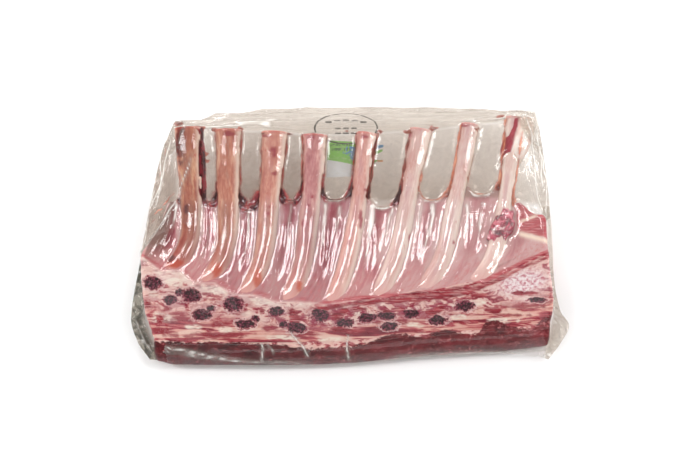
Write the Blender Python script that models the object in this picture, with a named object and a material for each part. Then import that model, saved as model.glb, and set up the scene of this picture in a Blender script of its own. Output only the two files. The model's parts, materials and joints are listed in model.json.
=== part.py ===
"""Vacuum-packed rack of lamb: eight frenched ribs on a loin block, shrink-wrapped in clear film.

It lies on its fat side, with the inner side of the ribs and the sawn chine face up.
+X runs along the rack, +Y towards the rib tips, +Z up. The origin is the middle of the
footprint, at table level. The pack is one closed solid out to its film: the loin block,
the ribs in relief, the thin film between and beyond the bare bones, and the film's
edges left and right.
"""

import bmesh
import bpy
import numpy as np

MM = 0.001

# ---- driving dimensions, in millimetres -------------------------------------------
FILM = 1.4                 # two film layers and the purge between them

FRENCH_Y = 17.0            # where the meat stops and the bare bones begin
# one value per rib, from -X to +X
RIB_X = (-88.1, -67.4, -44.5, -21.8, 4.7, 32.1, 58.6, 85.7)        # centre at the frenching line
RIB_LEAN = (-0.06, -0.015, 0.055, 0.065, 0.13, 0.178, 0.195, 0.175)  # sideways run per mm of length
RIB_SWEEP = (12.3, 12.1, 9.1, 8.5, 7.1, 6.8, 8.4, 10.7)            # how far the root bends off that line
TIP_Y = (56.8, 55.6, 54.3, 52.8, 53.4, 55.3, 59.8, 64.0)
ROOT_Y = (-31.5, -39.0, -45.8, -49.8, -50.6, -47.2, -43.2, -38.4)
TIP_HALF = (6.9, 7.4, 6.9, 6.6, 5.2, 5.8, 5.1, 6.3)                # half widths
FRENCH_HALF = (6.1, 6.1, 5.8, 5.8, 4.4, 4.8, 4.3, 4.1)
ROOT_HALF = 4.0
BONE = 9.4                 # thickness of a bare bone
BONE_PROUD = 5.0           # height of its crown over the film beside it
SWEEP_POWER = 4.0

RIDGE = 43.0               # top edge of the chine face
FOOT_Y, FOOT_Z = -64.0, 20.0   # lower edge of the chine face
CORNER_Y, CORNER_END_Y = -56.0, -68.5   # where the film's side edges turn in to the front
CORNER_ROUND = 1.0         # how full the front corners are: 1 is a straight chamfer
END_RADIUS = 9.0           # rounding of those ends
REST_FRONT, REST_BACK = -60.0, -4.0     # the flat that the fat side rests on

# outlines given as (y, x or z)
LEFT_EDGE = ((63.0, -99.5), (48.8, -105.0), (18.0, -111.3), (-15.0, -116.0), (-47.0, -120.0), (-60.0, -116.0), (-68.5, -109.5))
RIGHT_EDGE = ((69.7, 104.2), (54.3, 107.3), (17.0, 111.2), (-25.0, 112.6), (-43.0, 115.5), (-51.0, 120.0), (-60.0, 115.5), (-68.5, 108.5))
LEFT_WALL = ((18.0, -101.0), (-2.0, -105.7), (-28.0, -112.0), (-52.0, -109.7), (-69.0, -103.0))
RIGHT_WALL = ((18.0, 104.0), (5.0, 108.5), (-20.0, 107.7), (-45.0, 111.0), (-63.0, 106.0))
EDGE_Z = ((70.0, 27.0), (17.0, 17.5), (-20.0, 13.5), (-55.0, 10.0), (-73.0, 3.0))
FLAP_Y = ((-100.0, 62.8), (-69.0, 69.2), (-35.0, 72.4), (10.0, 73.0), (67.0, 71.8), (104.0, 69.4))

# ---- along a rib: 0 at the ridge, 1 at the frenching line, 2 at the tip, 3 at the flap's edge
RIB_CROWN = ((0.0, 43.0), (0.15, 41.3), (0.3, 38.6), (0.5, 34.8), (0.7, 31.4), (0.88, 29.2), (1.0, 28.3), (1.3, 28.3), (1.6, 29.8), (2.0, 33.5))
VALLEY = ((0.0, 43.0), (0.15, 38.6), (0.3, 35.2), (0.5, 31.2), (0.7, 27.6), (0.88, 25.2), (1.0, 23.8))
TOP_ROWS = (3.0, 2.62, 2.14, 2.0, 1.93, 1.72, 1.5, 1.28, 1.1, 1.0, 0.88, 0.7, 0.5, 0.32, 0.15, 0.05)
# rows of the chine face and of the front: share of the way from ridge to foot, then (y, z) steps below the foot
FACE_ROWS = (0.0, 0.12, 0.4, 0.75, 1.0)
FRONT_ROWS = ((-4.6, 17.4), (-7.8, 12.6), (-8.6, 7.4), (-7.2, 2.8))


def through(table, at):
    """A smooth curve through a short table of (position, value), without overshoot."""
    pairs = sorted(table)
    x = np.array([p[0] for p in pairs], float)
    y = np.array([p[1] for p in pairs], float)
    h, d = np.diff(x), np.diff(y) / np.diff(x)
    m = np.empty_like(y)
    m[0], m[-1] = d[0], d[-1]
    same = d[:-1] * d[1:] > 0
    mean = 2 * d[:-1] * d[1:] / np.where(same, d[:-1] + d[1:], 1.0)
    m[1:-1] = np.where(same, mean, 0.0)
    at = np.clip(np.asarray(at, float), x[0], x[-1])
    i = np.clip(np.searchsorted(x, at) - 1, 0, len(h) - 1)
    s = (at - x[i]) / h[i]
    return (
        y[i] * (1 + 2 * s) * (1 - s) ** 2
        + y[i + 1] * s * s * (3 - 2 * s)
        + h[i] * m[i] * s * (1 - s) ** 2
        - h[i] * m[i + 1] * s * s * (1 - s)
    )


def quarter(d, radius):
    """0 outside, rising as a quarter circle to 1 at that depth inside."""
    s = np.clip(d / radius, 0.0, 1.0)
    return np.sqrt(1 - (1 - s) ** 2)


def columns():
    """Each column is (kind, rib, share): across a rib, in the gap after it, or at an end."""
    out = [("left", 0, a) for a in (0.0, 0.3, 0.62, 0.85)]
    for k in range(len(RIB_X)):
        out += [("rib", k, a) for a in (-1.0, -0.8, -0.42, 0.0, 0.42, 0.8, 1.0)]
        if k < len(RIB_X) - 1:
            out += [("gap", k, a) for a in (0.33, 0.67)]
    out += [("right", len(RIB_X) - 1, a) for a in (0.12, 0.28, 0.45, 0.62, 0.77, 0.9, 1.0)]
    return out


def rib_line(k, t):
    """(x, y, half width) of rib k's centre line at t."""
    if t <= 1:
        y = ROOT_Y[k] + (FRENCH_Y - ROOT_Y[k]) * max(t, 0.0)
        half = ROOT_HALF + (FRENCH_HALF[k] - ROOT_HALF) * max(t, 0.0) ** 1.5
        bend = RIB_SWEEP[k] * (1 - max(t, 0.0)) ** SWEEP_POWER
    else:
        y = FRENCH_Y + (TIP_Y[k] - FRENCH_Y) * min(t - 1, 1.0)
        half = FRENCH_HALF[k] + (TIP_HALF[k] - FRENCH_HALF[k]) * min(t - 1, 1.0) ** 1.5
        bend = 0.0
    x = RIB_X[k] + RIB_LEAN[k] * (y - FRENCH_Y) - bend
    if t > 2:
        y += (float(through(FLAP_Y, x)) - y) * (t - 2)
        x = RIB_X[k] + RIB_LEAN[k] * (y - FRENCH_Y)
    return x, y, half


def end_line(side, t):
    """(x, y) of the film's side edge at t."""
    edge, root = (LEFT_EDGE, -28.0) if side == "left" else (RIGHT_EDGE, -20.0)
    top = max(edge)[0]
    y = root + (FRENCH_Y - root) * t if t <= 1 else FRENCH_Y + (top - FRENCH_Y) * (t - 1) / 2
    return float(through(edge, y)), y


def plan(column, t):
    """(x, y) of a column at t."""
    kind, k, a = column
    x, y, half = rib_line(k, t)
    if kind == "rib":
        return x + a * half, y
    if kind == "gap":
        x2, y2, half2 = rib_line(k + 1, t)
        left, right = x + half, x2 - half2
        return left + a * (right - left), y + a * (y2 - y)
    ex, ey = end_line(kind, t)
    if kind == "left":
        return ex + a * (x - half - ex), ey + a * (y - ey)
    return x + half + a * (ex - x - half), y + a * (ey - y)


def crown_share(column):
    """1 on a rib's crown, 0 in the gaps."""
    kind, _, a = column
    return np.sqrt(1 - abs(a) ** 2.2) * 0.92 + 0.08 if kind == "rib" else 0.0


def loaf(x, y, radius):
    """1 inside the loin block, falling to 0 at its left and right ends."""
    left, right = through(LEFT_WALL, y), through(RIGHT_WALL, y)
    return quarter(x - left, radius) * quarter(right - x, radius)


def top_point(column, t):
    x, y = plan(column, t)
    edge = float(through(EDGE_Z, y)) + FILM / 2
    share = crown_share(column)
    if t <= 1:
        rib, valley = float(through(RIB_CROWN, t)), float(through(VALLEY, t))
        z = valley + (rib - valley) * share
        inside = float(loaf(x, y, END_RADIUS))
        return x, y, edge + (z - edge) * inside
    rib = float(through(RIB_CROWN, min(t, 2.0)))
    film = rib - BONE_PROUD
    if t > 2:
        share *= max(0.0, 1 - (t - 2) / 0.14) ** 0.7
        film -= 1.2 * (t - 2)
    elif t > 1.95:
        share *= 0.9
    z = film + BONE_PROUD * share
    if column[0] in ("left", "right"):
        a = column[2] if column[0] == "left" else 1 - column[2]
        z = edge + (film - edge) * a
    return x, y, z


def end_span(column, share, y_edge):
    """(x at the film's edge, x where the end's columns start, share of the way in from the edge)."""
    kind, k, a = column
    table = LEFT_EDGE if kind == "left" else RIGHT_EDGE
    start = plan(("rib", k, -1.0 if kind == "left" else 1.0), 0.0)[0]
    inner = start + (float(through(SPREAD, start)) - start) * share
    return float(through(table, y_edge)), inner, a if kind == "left" else 1 - a


def ease(a, share):
    """Share of the way in across an end, fuller towards the foot."""
    return 1 - (1 - a) ** (1 + (CORNER_ROUND - 1) * share)


def face_point(column, share):
    """On the sawn chine face: 0 at the ridge, 1 at its foot. Columns even out on the way down."""
    x, y = plan(column, 0.0)
    fx = x + (float(through(SPREAD, x)) - x) * share
    fy = y + (FOOT_Y + 1.5 * np.cos(fx / 38.0) - y) * share
    z = RIDGE + (FOOT_Z - RIDGE) * share
    if column[0] in ("left", "right"):
        root = end_line(column[0], 0.0)[1]
        edge_y = root + (CORNER_Y - root) * share
        edge_x, inner, a = end_span(column, share, edge_y)
        fx = edge_x + (inner - edge_x) * a
        root_y = ROOT_Y[column[1]]
        inner_y = root_y + (FOOT_Y + 1.5 * np.cos(inner / 38.0) - root_y) * share
        fy = edge_y + (inner_y - edge_y) * ease(a, share)
    edge = float(through(EDGE_Z, fy)) + FILM / 2
    return fx, fy, edge + (z - edge) * float(loaf(fx, fy, END_RADIUS))


def front_point(column, row):
    """Below the foot: the eye muscle's bulge, in to the table."""
    fx, fy, _ = face_point(column, 1.0)
    inside = float(loaf(fx, fy, 14.0))
    dy, z = FRONT_ROWS[row]
    y = FOOT_Y + 1.5 * np.cos(fx / 38.0) + dy
    if column[0] in ("left", "right"):
        edge_y = CORNER_Y + (CORNER_END_Y - CORNER_Y) * (row + 1) / len(FRONT_ROWS)
        edge_x, inner, a = end_span(column, 1.0, edge_y)
        fx = edge_x + (inner - edge_x) * a
        y = edge_y + (y - edge_y) * ease(a, 1.0)
    edge = float(through(EDGE_Z, y)) + FILM / 2
    return fx, y, edge + (z - edge) * inside


def under_rows(nt):
    """(y, z) of the underside's rows, from the frenching line in under the loin block."""
    back = ((16.6, 18.4), (15.6, 12.5), (11.0, 5.2), (4.0, 1.0), (REST_BACK, 0.0))
    count = nt - len(back) - 1
    flat = [(REST_BACK + (REST_FRONT - REST_BACK) * (i + 1) / count, 0.0) for i in range(count)]
    return list(back) + flat


def under_point(row, rows, top):
    """Under the loin block: a rounded back, a flat to rest on, and ends rounded up to the film's edge."""
    y, z = rows[row]
    inside = float(loaf(top[0], 0.5 * (y + top[1]), 15.0))
    y = top[1] + (y - top[1]) * inside**2
    edge = float(through(EDGE_Z, y)) - FILM / 2
    return top[0], y, min(edge + (z - edge) * inside, top[2] - FILM)


def build():
    cols = columns()
    top = []
    for t in TOP_ROWS:
        top.append([top_point(c, t) for c in cols])
    for share in FACE_ROWS:
        top.append([face_point(c, share) for c in cols])
    for row in range(len(FRONT_ROWS)):
        top.append([front_point(c, row) for c in cols])
    top = np.array(top)

    bottom = top.copy()
    french = TOP_ROWS.index(1.0)
    for j in range(french):
        t = TOP_ROWS[j]
        for i, c in enumerate(cols):
            share = crown_share(c) * (0.0 if t > 2.1 else 1.0)
            if 2.0 < t <= 2.1 or t == 2.0:
                share *= 0.9
            film = top[j, i, 2] - BONE_PROUD * crown_share(c) * (1.0 if t <= 2.0 else 0.0) - FILM
            if t == 2.0:
                film = top[j, i, 2] - BONE_PROUD * crown_share(c) * 0.9 - FILM
            bottom[j, i, 2] = film - (BONE - BONE_PROUD - FILM) * share
    rows = under_rows(len(top) - french)
    for j in range(french, len(top) - 1):
        for i in range(len(cols)):
            bottom[j, i] = under_point(j - french, rows, top[j, i])
    bottom[-1] = top[-1] - (0, 0, FILM)
    both = np.concatenate([top, bottom]).reshape(-1, 3)
    middle = (both.min(axis=0) + both.max(axis=0)) / 2
    middle[2] = 0.0
    top, bottom = top - middle, bottom - middle
    return cols, top, bottom


def even_columns():
    """Where each column of the ridge ends up at the chine face's foot."""
    cols = [c for c in columns() if c[0] in ("rib", "gap")]
    x = [plan(c, 0.0)[0] for c in cols]
    lo, hi = -96.0, 84.0
    return tuple((a, lo + (hi - lo) * (a - x[0]) / (x[-1] - x[0])) for a in x)


SPREAD = even_columns()


def mesh_of(name, top, bottom):
    nt, nu = top.shape[:2]
    bm = bmesh.new()
    upper = [[bm.verts.new(p * MM) for p in row] for row in top]
    lower = [[bm.verts.new(p * MM) for p in row] for row in bottom]
    for j in range(nt - 1):
        for i in range(nu - 1):
            bm.faces.new((upper[j][i], upper[j + 1][i], upper[j + 1][i + 1], upper[j][i + 1]))
            bm.faces.new((lower[j][i], lower[j][i + 1], lower[j + 1][i + 1], lower[j + 1][i]))
    ring = (
        [(0, i) for i in range(nu)]
        + [(j, nu - 1) for j in range(1, nt)]
        + [(nt - 1, i) for i in range(nu - 2, -1, -1)]
        + [(j, 0) for j in range(nt - 2, 0, -1)]
    )
    for (ja, ia), (jb, ib) in zip(ring, ring[1:] + ring[:1]):
        bm.faces.new((upper[ja][ia], upper[jb][ib], lower[jb][ib], lower[ja][ia]))
    bmesh.ops.recalc_face_normals(bm, faces=bm.faces)
    flat = [f for f in bm.faces if all(abs(v.co.z) < 1e-7 for v in f.verts)]
    bmesh.ops.dissolve_faces(bm, faces=flat, use_verts=True)
    bmesh.ops.triangulate(bm, faces=bm.faces)
    mesh = bpy.data.meshes.new(name)
    bm.to_mesh(mesh)
    bm.free()
    mesh.shade_smooth()
    return mesh


def material(name, colour, roughness):
    made = bpy.data.materials.new(name)
    made.use_nodes = True
    shader = made.node_tree.nodes["Principled BSDF"]
    shader.inputs["Base Color"].default_value = (*colour, 1.0)
    shader.inputs["Roughness"].default_value = roughness
    shader.inputs["Metallic"].default_value = 0.0
    shader.inputs["Coat Weight"].default_value = 0.6
    made.diffuse_color = (*colour, 1.0)
    return made


def main():
    for obj in list(bpy.data.objects):
        bpy.data.objects.remove(obj, do_unlink=True)
    _, top, bottom = build()
    mesh = mesh_of("vacuum_pack", top, bottom)
    pack = bpy.data.objects.new("vacuum_pack", mesh)
    pack.data.materials.append(material("wrapped_lamb", (0.45, 0.16, 0.14), 0.28))
    bpy.context.scene.collection.objects.link(pack)


main()
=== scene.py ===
import json
import math

import bpy
import numpy as np
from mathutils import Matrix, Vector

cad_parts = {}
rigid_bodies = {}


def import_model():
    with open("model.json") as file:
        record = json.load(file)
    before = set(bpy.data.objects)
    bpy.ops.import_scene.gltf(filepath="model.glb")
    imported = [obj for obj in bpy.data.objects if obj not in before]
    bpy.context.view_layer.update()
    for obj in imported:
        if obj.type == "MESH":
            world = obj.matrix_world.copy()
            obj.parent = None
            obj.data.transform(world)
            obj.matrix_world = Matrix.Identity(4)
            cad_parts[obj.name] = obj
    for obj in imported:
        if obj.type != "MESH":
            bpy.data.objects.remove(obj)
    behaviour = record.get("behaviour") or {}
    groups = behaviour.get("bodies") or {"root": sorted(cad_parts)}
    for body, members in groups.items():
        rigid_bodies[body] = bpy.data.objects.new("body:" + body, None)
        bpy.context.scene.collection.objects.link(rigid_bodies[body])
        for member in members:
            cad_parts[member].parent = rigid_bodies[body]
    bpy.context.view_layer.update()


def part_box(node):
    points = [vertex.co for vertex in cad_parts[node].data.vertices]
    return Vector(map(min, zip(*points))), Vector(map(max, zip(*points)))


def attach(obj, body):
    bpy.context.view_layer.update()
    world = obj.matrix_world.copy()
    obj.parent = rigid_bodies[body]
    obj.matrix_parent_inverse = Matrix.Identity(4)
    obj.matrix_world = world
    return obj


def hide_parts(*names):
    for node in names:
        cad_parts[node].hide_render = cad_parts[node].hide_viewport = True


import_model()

LO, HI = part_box("vacuum_pack")
MM = 0.001

# ------------------------------------------------------------------ the rack's own sizes, in mm
FRENCH_Y = 17.0
RIB_X = (-88.1, -67.4, -44.5, -21.8, 4.7, 32.1, 58.6, 85.7)
RIB_LEAN = (-0.06, -0.015, 0.055, 0.065, 0.13, 0.178, 0.195, 0.150)
RIB_SWEEP = (12.3, 12.1, 9.1, 8.5, 7.1, 6.8, 8.4, 10.7)
TIP_Y = (59.0, 57.8, 56.5, 54.7, 55.8, 58.1, 61.3, 65.3)
ROOT_Y = (-31.5, -39.0, -45.8, -49.8, -50.6, -47.2, -43.2, -38.4)
TIP_HALF = (7.6, 7.6, 7.4, 7.0, 5.7, 6.2, 5.2, 5.4)
FRENCH_HALF = (6.3, 6.5, 6.0, 5.7, 4.8, 5.0, 4.6, 4.2)
ROOT_HALF = 5.2
BONE = 9.4
PROUD = 5.0
RIDGE = 43.0
FOOT_Y, FOOT_Z = -64.0, 20.0
CORNER_Y, CORNER_END_Y = -56.0, -68.5
LEFT_EDGE = ((63.0, -99.5), (48.8, -105.0), (18.0, -111.3), (-15.0, -116.0), (-47.0, -120.0), (-60.0, -116.0), (-68.5, -109.5))
RIGHT_EDGE = ((69.7, 104.2), (54.3, 107.3), (17.0, 111.2), (-25.0, 112.6), (-43.0, 115.5), (-51.0, 120.0), (-60.0, 115.5), (-68.5, 108.5))
LEFT_WALL = ((18.0, -101.0), (-2.0, -106.4), (-22.0, -113.4), (-45.0, -112.2), (-69.0, -104.0))
LEFT_ROOT, RIGHT_ROOT = -22.5, -20.0
RIGHT_WALL = ((18.0, 104.0), (5.0, 108.5), (-20.0, 107.7), (-45.0, 111.0), (-63.0, 106.0))
EDGE_Z = ((70.0, 27.0), (17.0, 17.5), (-20.0, 13.5), (-55.0, 10.0), (-73.0, 3.0))
FLAP_Y = ((-100.0, 62.8), (-69.0, 69.2), (-35.0, 72.4), (10.0, 73.0), (67.0, 71.8), (104.0, 69.4))
RIB_CROWN = ((0.0, 43.0), (0.15, 41.3), (0.3, 38.6), (0.5, 34.8), (0.7, 31.4), (0.88, 29.2), (1.0, 28.3), (1.3, 28.3), (1.6, 29.8), (2.0, 33.5))
VALLEY = ((0.0, 42.6), (0.12, 40.0), (0.3, 35.6), (0.5, 31.4), (0.7, 28.1), (0.88, 26.0), (1.0, 25.2))
WINDOW_Y = (17.7, 17.0, 14.6, 18.0, 18.3, 14.0, 18.3, 22.0, 17.0)   # where the meat stops, gap by gap
FRONT = ((0.0, 20.0), (-3.4, 18.2), (-6.4, 15.0), (-8.3, 10.8), (-8.7, 7.0), (-7.6, 3.4), (-5.0, 1.2), (-1.0, 0.45))

# the row frame's origin is the middle of the footprint
OFF = np.array([HI.x / MM - 118.145, HI.y / MM - 73.0, 0.0])


def through(table, at):
    pairs = sorted(table)
    x = np.array([p[0] for p in pairs], float)
    y = np.array([p[1] for p in pairs], float)
    h, d = np.diff(x), np.diff(y) / np.diff(x)
    m = np.empty_like(y)
    m[0], m[-1] = d[0], d[-1]
    same = d[:-1] * d[1:] > 0
    mean = 2 * d[:-1] * d[1:] / np.where(same, d[:-1] + d[1:], 1.0)
    m[1:-1] = np.where(same, mean, 0.0)
    at = np.clip(np.asarray(at, float), x[0], x[-1])
    i = np.clip(np.searchsorted(x, at) - 1, 0, len(h) - 1)
    s = (at - x[i]) / h[i]
    return (y[i] * (1 + 2 * s) * (1 - s) ** 2 + y[i + 1] * s * s * (3 - 2 * s)
            + h[i] * m[i] * s * (1 - s) ** 2 - h[i] * m[i + 1] * s * s * (1 - s))


def smooth(lo, hi, v):
    s = np.clip((np.asarray(v, float) - lo) / (hi - lo), 0, 1)
    return s * s * (3 - 2 * s)


def quarter(d, radius):
    s = np.clip(d / radius, 0.0, 1.0)
    return np.sqrt(1 - (1 - s) ** 2)


# ------------------------------------------------------------------ smooth noise for shapes and masks
def _hash(i, j, k, seed):
    n = (i * 374761393 + j * 668265263 + k * 2147483647 + seed * 974634777) & 0xFFFFFFFF
    n = ((n ^ (n >> 13)) * 1274126177) & 0xFFFFFFFF
    n = (n ^ (n >> 16)) & 0xFFFFFFFF
    return n.astype(np.float64) / 4294967295.0


def noise(x, y, z=0.0, seed=0):
    """Value noise, -1 to 1, a feature about every unit."""
    x, y, z = np.broadcast_arrays(np.asarray(x, float), np.asarray(y, float), np.asarray(z, float))
    xi, yi, zi = np.floor(x).astype(np.int64), np.floor(y).astype(np.int64), np.floor(z).astype(np.int64)
    fx, fy, fz = x - xi, y - yi, z - zi
    fx, fy, fz = (f * f * f * (f * (f * 6 - 15) + 10) for f in (fx, fy, fz))
    out = 0.0
    for a in (0, 1):
        for b in (0, 1):
            for c in (0, 1):
                w = (fx if a else 1 - fx) * (fy if b else 1 - fy) * (fz if c else 1 - fz)
                out = out + w * _hash(xi + a, yi + b, zi + c, seed)
    return out * 2 - 1


def fbm(x, y, z=0.0, seed=0, octaves=4, gain=0.5):
    out, amp, total = 0.0, 1.0, 0.0
    for o in range(octaves):
        out = out + amp * noise(np.asarray(x) * 2**o + 17.3 * o, np.asarray(y) * 2**o - 9.1 * o, np.asarray(z) * 2**o, seed + o)
        total += amp
        amp *= gain
    return out / total


def ridged(x, y, z=0.0, seed=0, octaves=3):
    out, amp, total = 0.0, 1.0, 0.0
    for o in range(octaves):
        out = out + amp * (1 - np.abs(noise(np.asarray(x) * 2**o, np.asarray(y) * 2**o, np.asarray(z) * 2**o, seed + 31 * o))) ** 3
        total += amp
        amp *= 0.5
    return out / total


# ------------------------------------------------------------------ ribs
def rib_t(k, y):
    y = np.asarray(y, float)
    inner = (y - ROOT_Y[k]) / (FRENCH_Y - ROOT_Y[k])
    outer = 1 + (y - FRENCH_Y) / (TIP_Y[k] - FRENCH_Y)
    return np.where(y <= FRENCH_Y, inner, outer)


def rib_x(k, y):
    y = np.asarray(y, float)
    q = np.clip((FRENCH_Y - y) / (FRENCH_Y - ROOT_Y[k]), 0, 1.25)
    wave = 0.25 * np.sin(y / 11.0 + 1.7 * k)
    return RIB_X[k] + RIB_LEAN[k] * (y - FRENCH_Y) - RIB_SWEEP[k] * q**4 + wave * smooth(0, 0.4, 1 - np.clip(q, 0, 1))


def rib_half(k, t):
    t = np.asarray(t, float)
    inner = ROOT_HALF + (FRENCH_HALF[k] - ROOT_HALF) * np.clip(t, 0, 1) ** 1.5
    outer = FRENCH_HALF[k] + (TIP_HALF[k] - FRENCH_HALF[k]) * np.clip(t - 1, 0, 1) ** 1.6
    lump = 1 + 0.02 * np.sin(t * 9.0 + 2.1 * k) + 0.008 * np.sin(t * 21.0 + k)
    return np.where(t <= 1, inner, outer) * lump


def crown(k, t):
    t = np.asarray(t, float)
    return through(RIB_CROWN, np.clip(t, 0, 2)) + 0.35 * np.sin(t * 7.0 + 1.3 * k) * smooth(0.0, 0.4, t) * (1 - smooth(1.7, 2.0, t))


# ------------------------------------------------------------------ plan grid: heights of what lies under the film
STEP = 0.5
GX = np.arange(-128.0, 128.01, STEP)
GY = np.arange(-64.0, 84.01, STEP)
XX, YY = np.meshgrid(GX, GY)


def edge_t(side, y):
    edge, root = (LEFT_EDGE, LEFT_ROOT) if side == "left" else (RIGHT_EDGE, RIGHT_ROOT)
    top = max(edge)[0]
    return np.where(y <= FRENCH_Y, (y - root) / (FRENCH_Y - root), 1 + 2 * (y - FRENCH_Y) / (top - FRENCH_Y))


def plan_fields():
    """t along the ribs, c across them (whole numbers on the ribs), for every point of the grid."""
    t, c = np.empty_like(XX), np.empty_like(XX)
    for j, y in enumerate(GY):
        xs = [float(through(LEFT_EDGE, y))] + [float(rib_x(k, y)) for k in range(8)] + [float(through(RIGHT_EDGE, y))]
        ts = [float(edge_t("left", y))]
        for k in range(8):
            tk = float(rib_t(k, y))
            if tk > 2:
                tk = 2 + (y - TIP_Y[k]) / (float(through(FLAP_Y, RIB_X[k])) - TIP_Y[k])
            ts.append(tk)
        ts.append(float(edge_t("right", y)))
        t[j] = np.interp(GX, xs, ts)
        c[j] = np.interp(GX, xs, np.arange(-1, 9))
    return t, c


TT, CC = plan_fields()


def window_y(c):
    """The meat's upper edge between the ribs: a U in each gap."""
    g = np.clip(np.floor(c), -1, 7).astype(int)
    f = c - g
    base = np.array(WINDOW_Y)[g + 1]
    return base, f


def meat_edge_y(c, x):
    base, f = window_y(c)
    u = np.clip(np.abs(2 * np.clip(f, 0, 1) - 1) / 0.48, 0, 1.12)
    y = base - 1.2 + 3.6 * u**3.4
    y = np.where(c > 7, 17.5 - 12.5 * smooth(7.15, 7.85, c) + 1.2 * np.sin(c * 19), y)
    y = np.where(c < 0, 17.2 + 1.0 * smooth(-0.3, 0.0, c) - 1.5 * smooth(-0.45, -0.75, -c), y)
    return y


def membrane(t, c, x, y):
    """Where the two films meet beyond and between the bones."""
    z = through(RIB_CROWN, np.clip(t, 0, 2)) - PROUD - 1.0 * np.clip(t - 2, 0, 1)
    edge = through(EDGE_Z, y)
    z = np.where(c < 0, edge + (z - edge) * smooth(0, 1, c + 1) , z)
    z = np.where(c > 7, edge + (z - edge) * smooth(0, 1, 8 - c), z)
    return z


def meat_top(t, c, x, y):
    """The loin block's upper surface between the ribs, before the end walls fall away."""
    z = through(VALLEY, np.clip(t, 0, 1))
    f = c - np.floor(c)
    pillow = np.sin(np.pi * np.clip(f, 0, 1)) * smooth(0.1, 0.4, t)
    z = z + 0.9 * pillow + 0.5 * fbm(x / 9, y / 16, seed=3) * smooth(0.03, 0.2, t)
    # the last gap is broad and carries a flank of muscle at the far end
    z = z + 1.6 * smooth(7.35, 7.75, c) * smooth(0.45, 0.8, t)
    return z


def wall_gap(x, y):
    return np.minimum(x - through(LEFT_WALL, y), through(RIGHT_WALL, y) - x)


def bone_profile(k, x, y):
    """(top, bottom, inside) of rib k over the grid."""
    t = np.where(y <= TIP_Y[k], rib_t(k, y), 2.0)
    dx = (rib_x(k, y + 0.5) - rib_x(k, y - 0.5))
    d = (x - rib_x(k, y)) / np.sqrt(1 + dx * dx) / rib_half(k, t)
    inside = (np.abs(d) < 1) & (y < TIP_Y[k]) & (y > ROOT_Y[k] - 1)
    s = np.sqrt(np.clip(1 - np.abs(d) ** 2.3, 0, 1))
    end = np.sqrt(np.clip((TIP_Y[k] - y) / 1.4, 0, 1))
    half = BONE / 2 * (0.55 + 0.45 * end)
    mid = crown(k, t) - BONE / 2
    return mid + half * s, mid - half * s, inside


def slide(h, axis, step):
    out = np.roll(h, step, axis=axis)
    sl = [slice(None)] * 2
    if step > 0:
        sl[axis] = slice(0, step)
        out[tuple(sl)] = np.take(h, [0], axis=axis)
    elif step < 0:
        sl[axis] = slice(step, None)
        out[tuple(sl)] = np.take(h, [-1], axis=axis)
    return out


def closing(h, radius, reach):
    """The film's bridging of hollows: a parabola of that radius rolled over the top."""
    n = int(reach / STEP)
    for sign in (1, -1):
        for axis in (0, 1):
            best = h.copy()
            for i in range(1, n + 1):
                q = (i * STEP) ** 2 / (2 * radius) * sign
                for s in (i, -i):
                    moved = slide(h, axis, s) - q
                    best = np.maximum(best, moved) if sign > 0 else np.minimum(best, moved)
            h = best
    return h


def blur(h, sigma):
    n = int(math.ceil(2.5 * sigma / STEP))
    w = np.exp(-0.5 * (np.arange(-n, n + 1) * STEP / sigma) ** 2)
    w /= w.sum()
    for axis in (0, 1):
        h = sum(w[i + n] * slide(h, axis, i) for i in range(-n, n + 1))
    return h


print("plan heights")
MEM = membrane(TT, CC, XX, YY)
EDGE = meat_edge_y(CC, XX)
GAP = wall_gap(XX, YY)
MEAT = meat_top(TT, CC, XX, YY)
in_meat = (YY < EDGE) & (GAP > 0)
edge_lip = quarter(np.clip(EDGE - YY, 0, 9), 2.2)
MEAT_H = MEM + (MEAT - MEM) * np.clip(edge_lip, 0, 1)
MEAT_H = EDGE_BASE = np.where(in_meat, MEAT_H, -50.0)
wall = quarter(GAP, 3.2)
edge_level = through(EDGE_Z, YY)
TOP0 = np.where(in_meat, edge_level + (MEAT_H - edge_level) * wall, MEM)
BOT0 = MEM.copy()
BONE_TOP = np.full_like(XX, -50.0)
for k in range(8):
    bt, bb, inside = bone_profile(k, XX, YY)
    TOP0 = np.where(inside, np.maximum(TOP0, bt), TOP0)
    BONE_TOP = np.where(inside, np.maximum(BONE_TOP, bt), BONE_TOP)
    BOT0 = np.where(inside & (YY > EDGE), np.minimum(BOT0, bb), BOT0)

# lumps that the film also has to pass over: the torn, bloody pocket over the last rib
def ragged_edge(ang):
    return 0.98 + 0.13 * np.sin(2 * ang + 0.5) + 0.10 * np.sin(3 * ang + 2.4) + 0.07 * np.sin(7 * ang + 1.0) + 0.05 * np.sin(11 * ang + 4.0)


def pocket(x, y):
    """0 to 1 over the crumpled pocket, and its own (across, along) coordinates."""
    along = (y + 0.5) * 0.958 + (x - 83.3) * 0.287
    across = (x - 83.3) * 0.958 - (y + 0.5) * 0.287
    size = ragged_edge(np.arctan2(along / 13.2, across / 6.0))
    return np.clip(1 - (across / 6.0 / size) ** 2 - (along / 13.2 / size) ** 2, 0, 1), across, along


def pocket_top(x, y):
    inside, across, along = pocket(x, y)
    rough = 1.5 * (ridged(across / 4.0, along / 5.0, seed=141) - 0.4) + 0.7 * fbm(x / 2.2, y / 2.2, seed=143)
    return through(RIB_CROWN, np.clip(rib_t(7, y), 0, 1)) - 1.6 + (3.6 + rough) * np.sqrt(inside)


_in = pocket(XX, YY)[0]
TOP0 = np.maximum(TOP0, np.where(_in > 0.02, pocket_top(XX, YY), -50))
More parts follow.
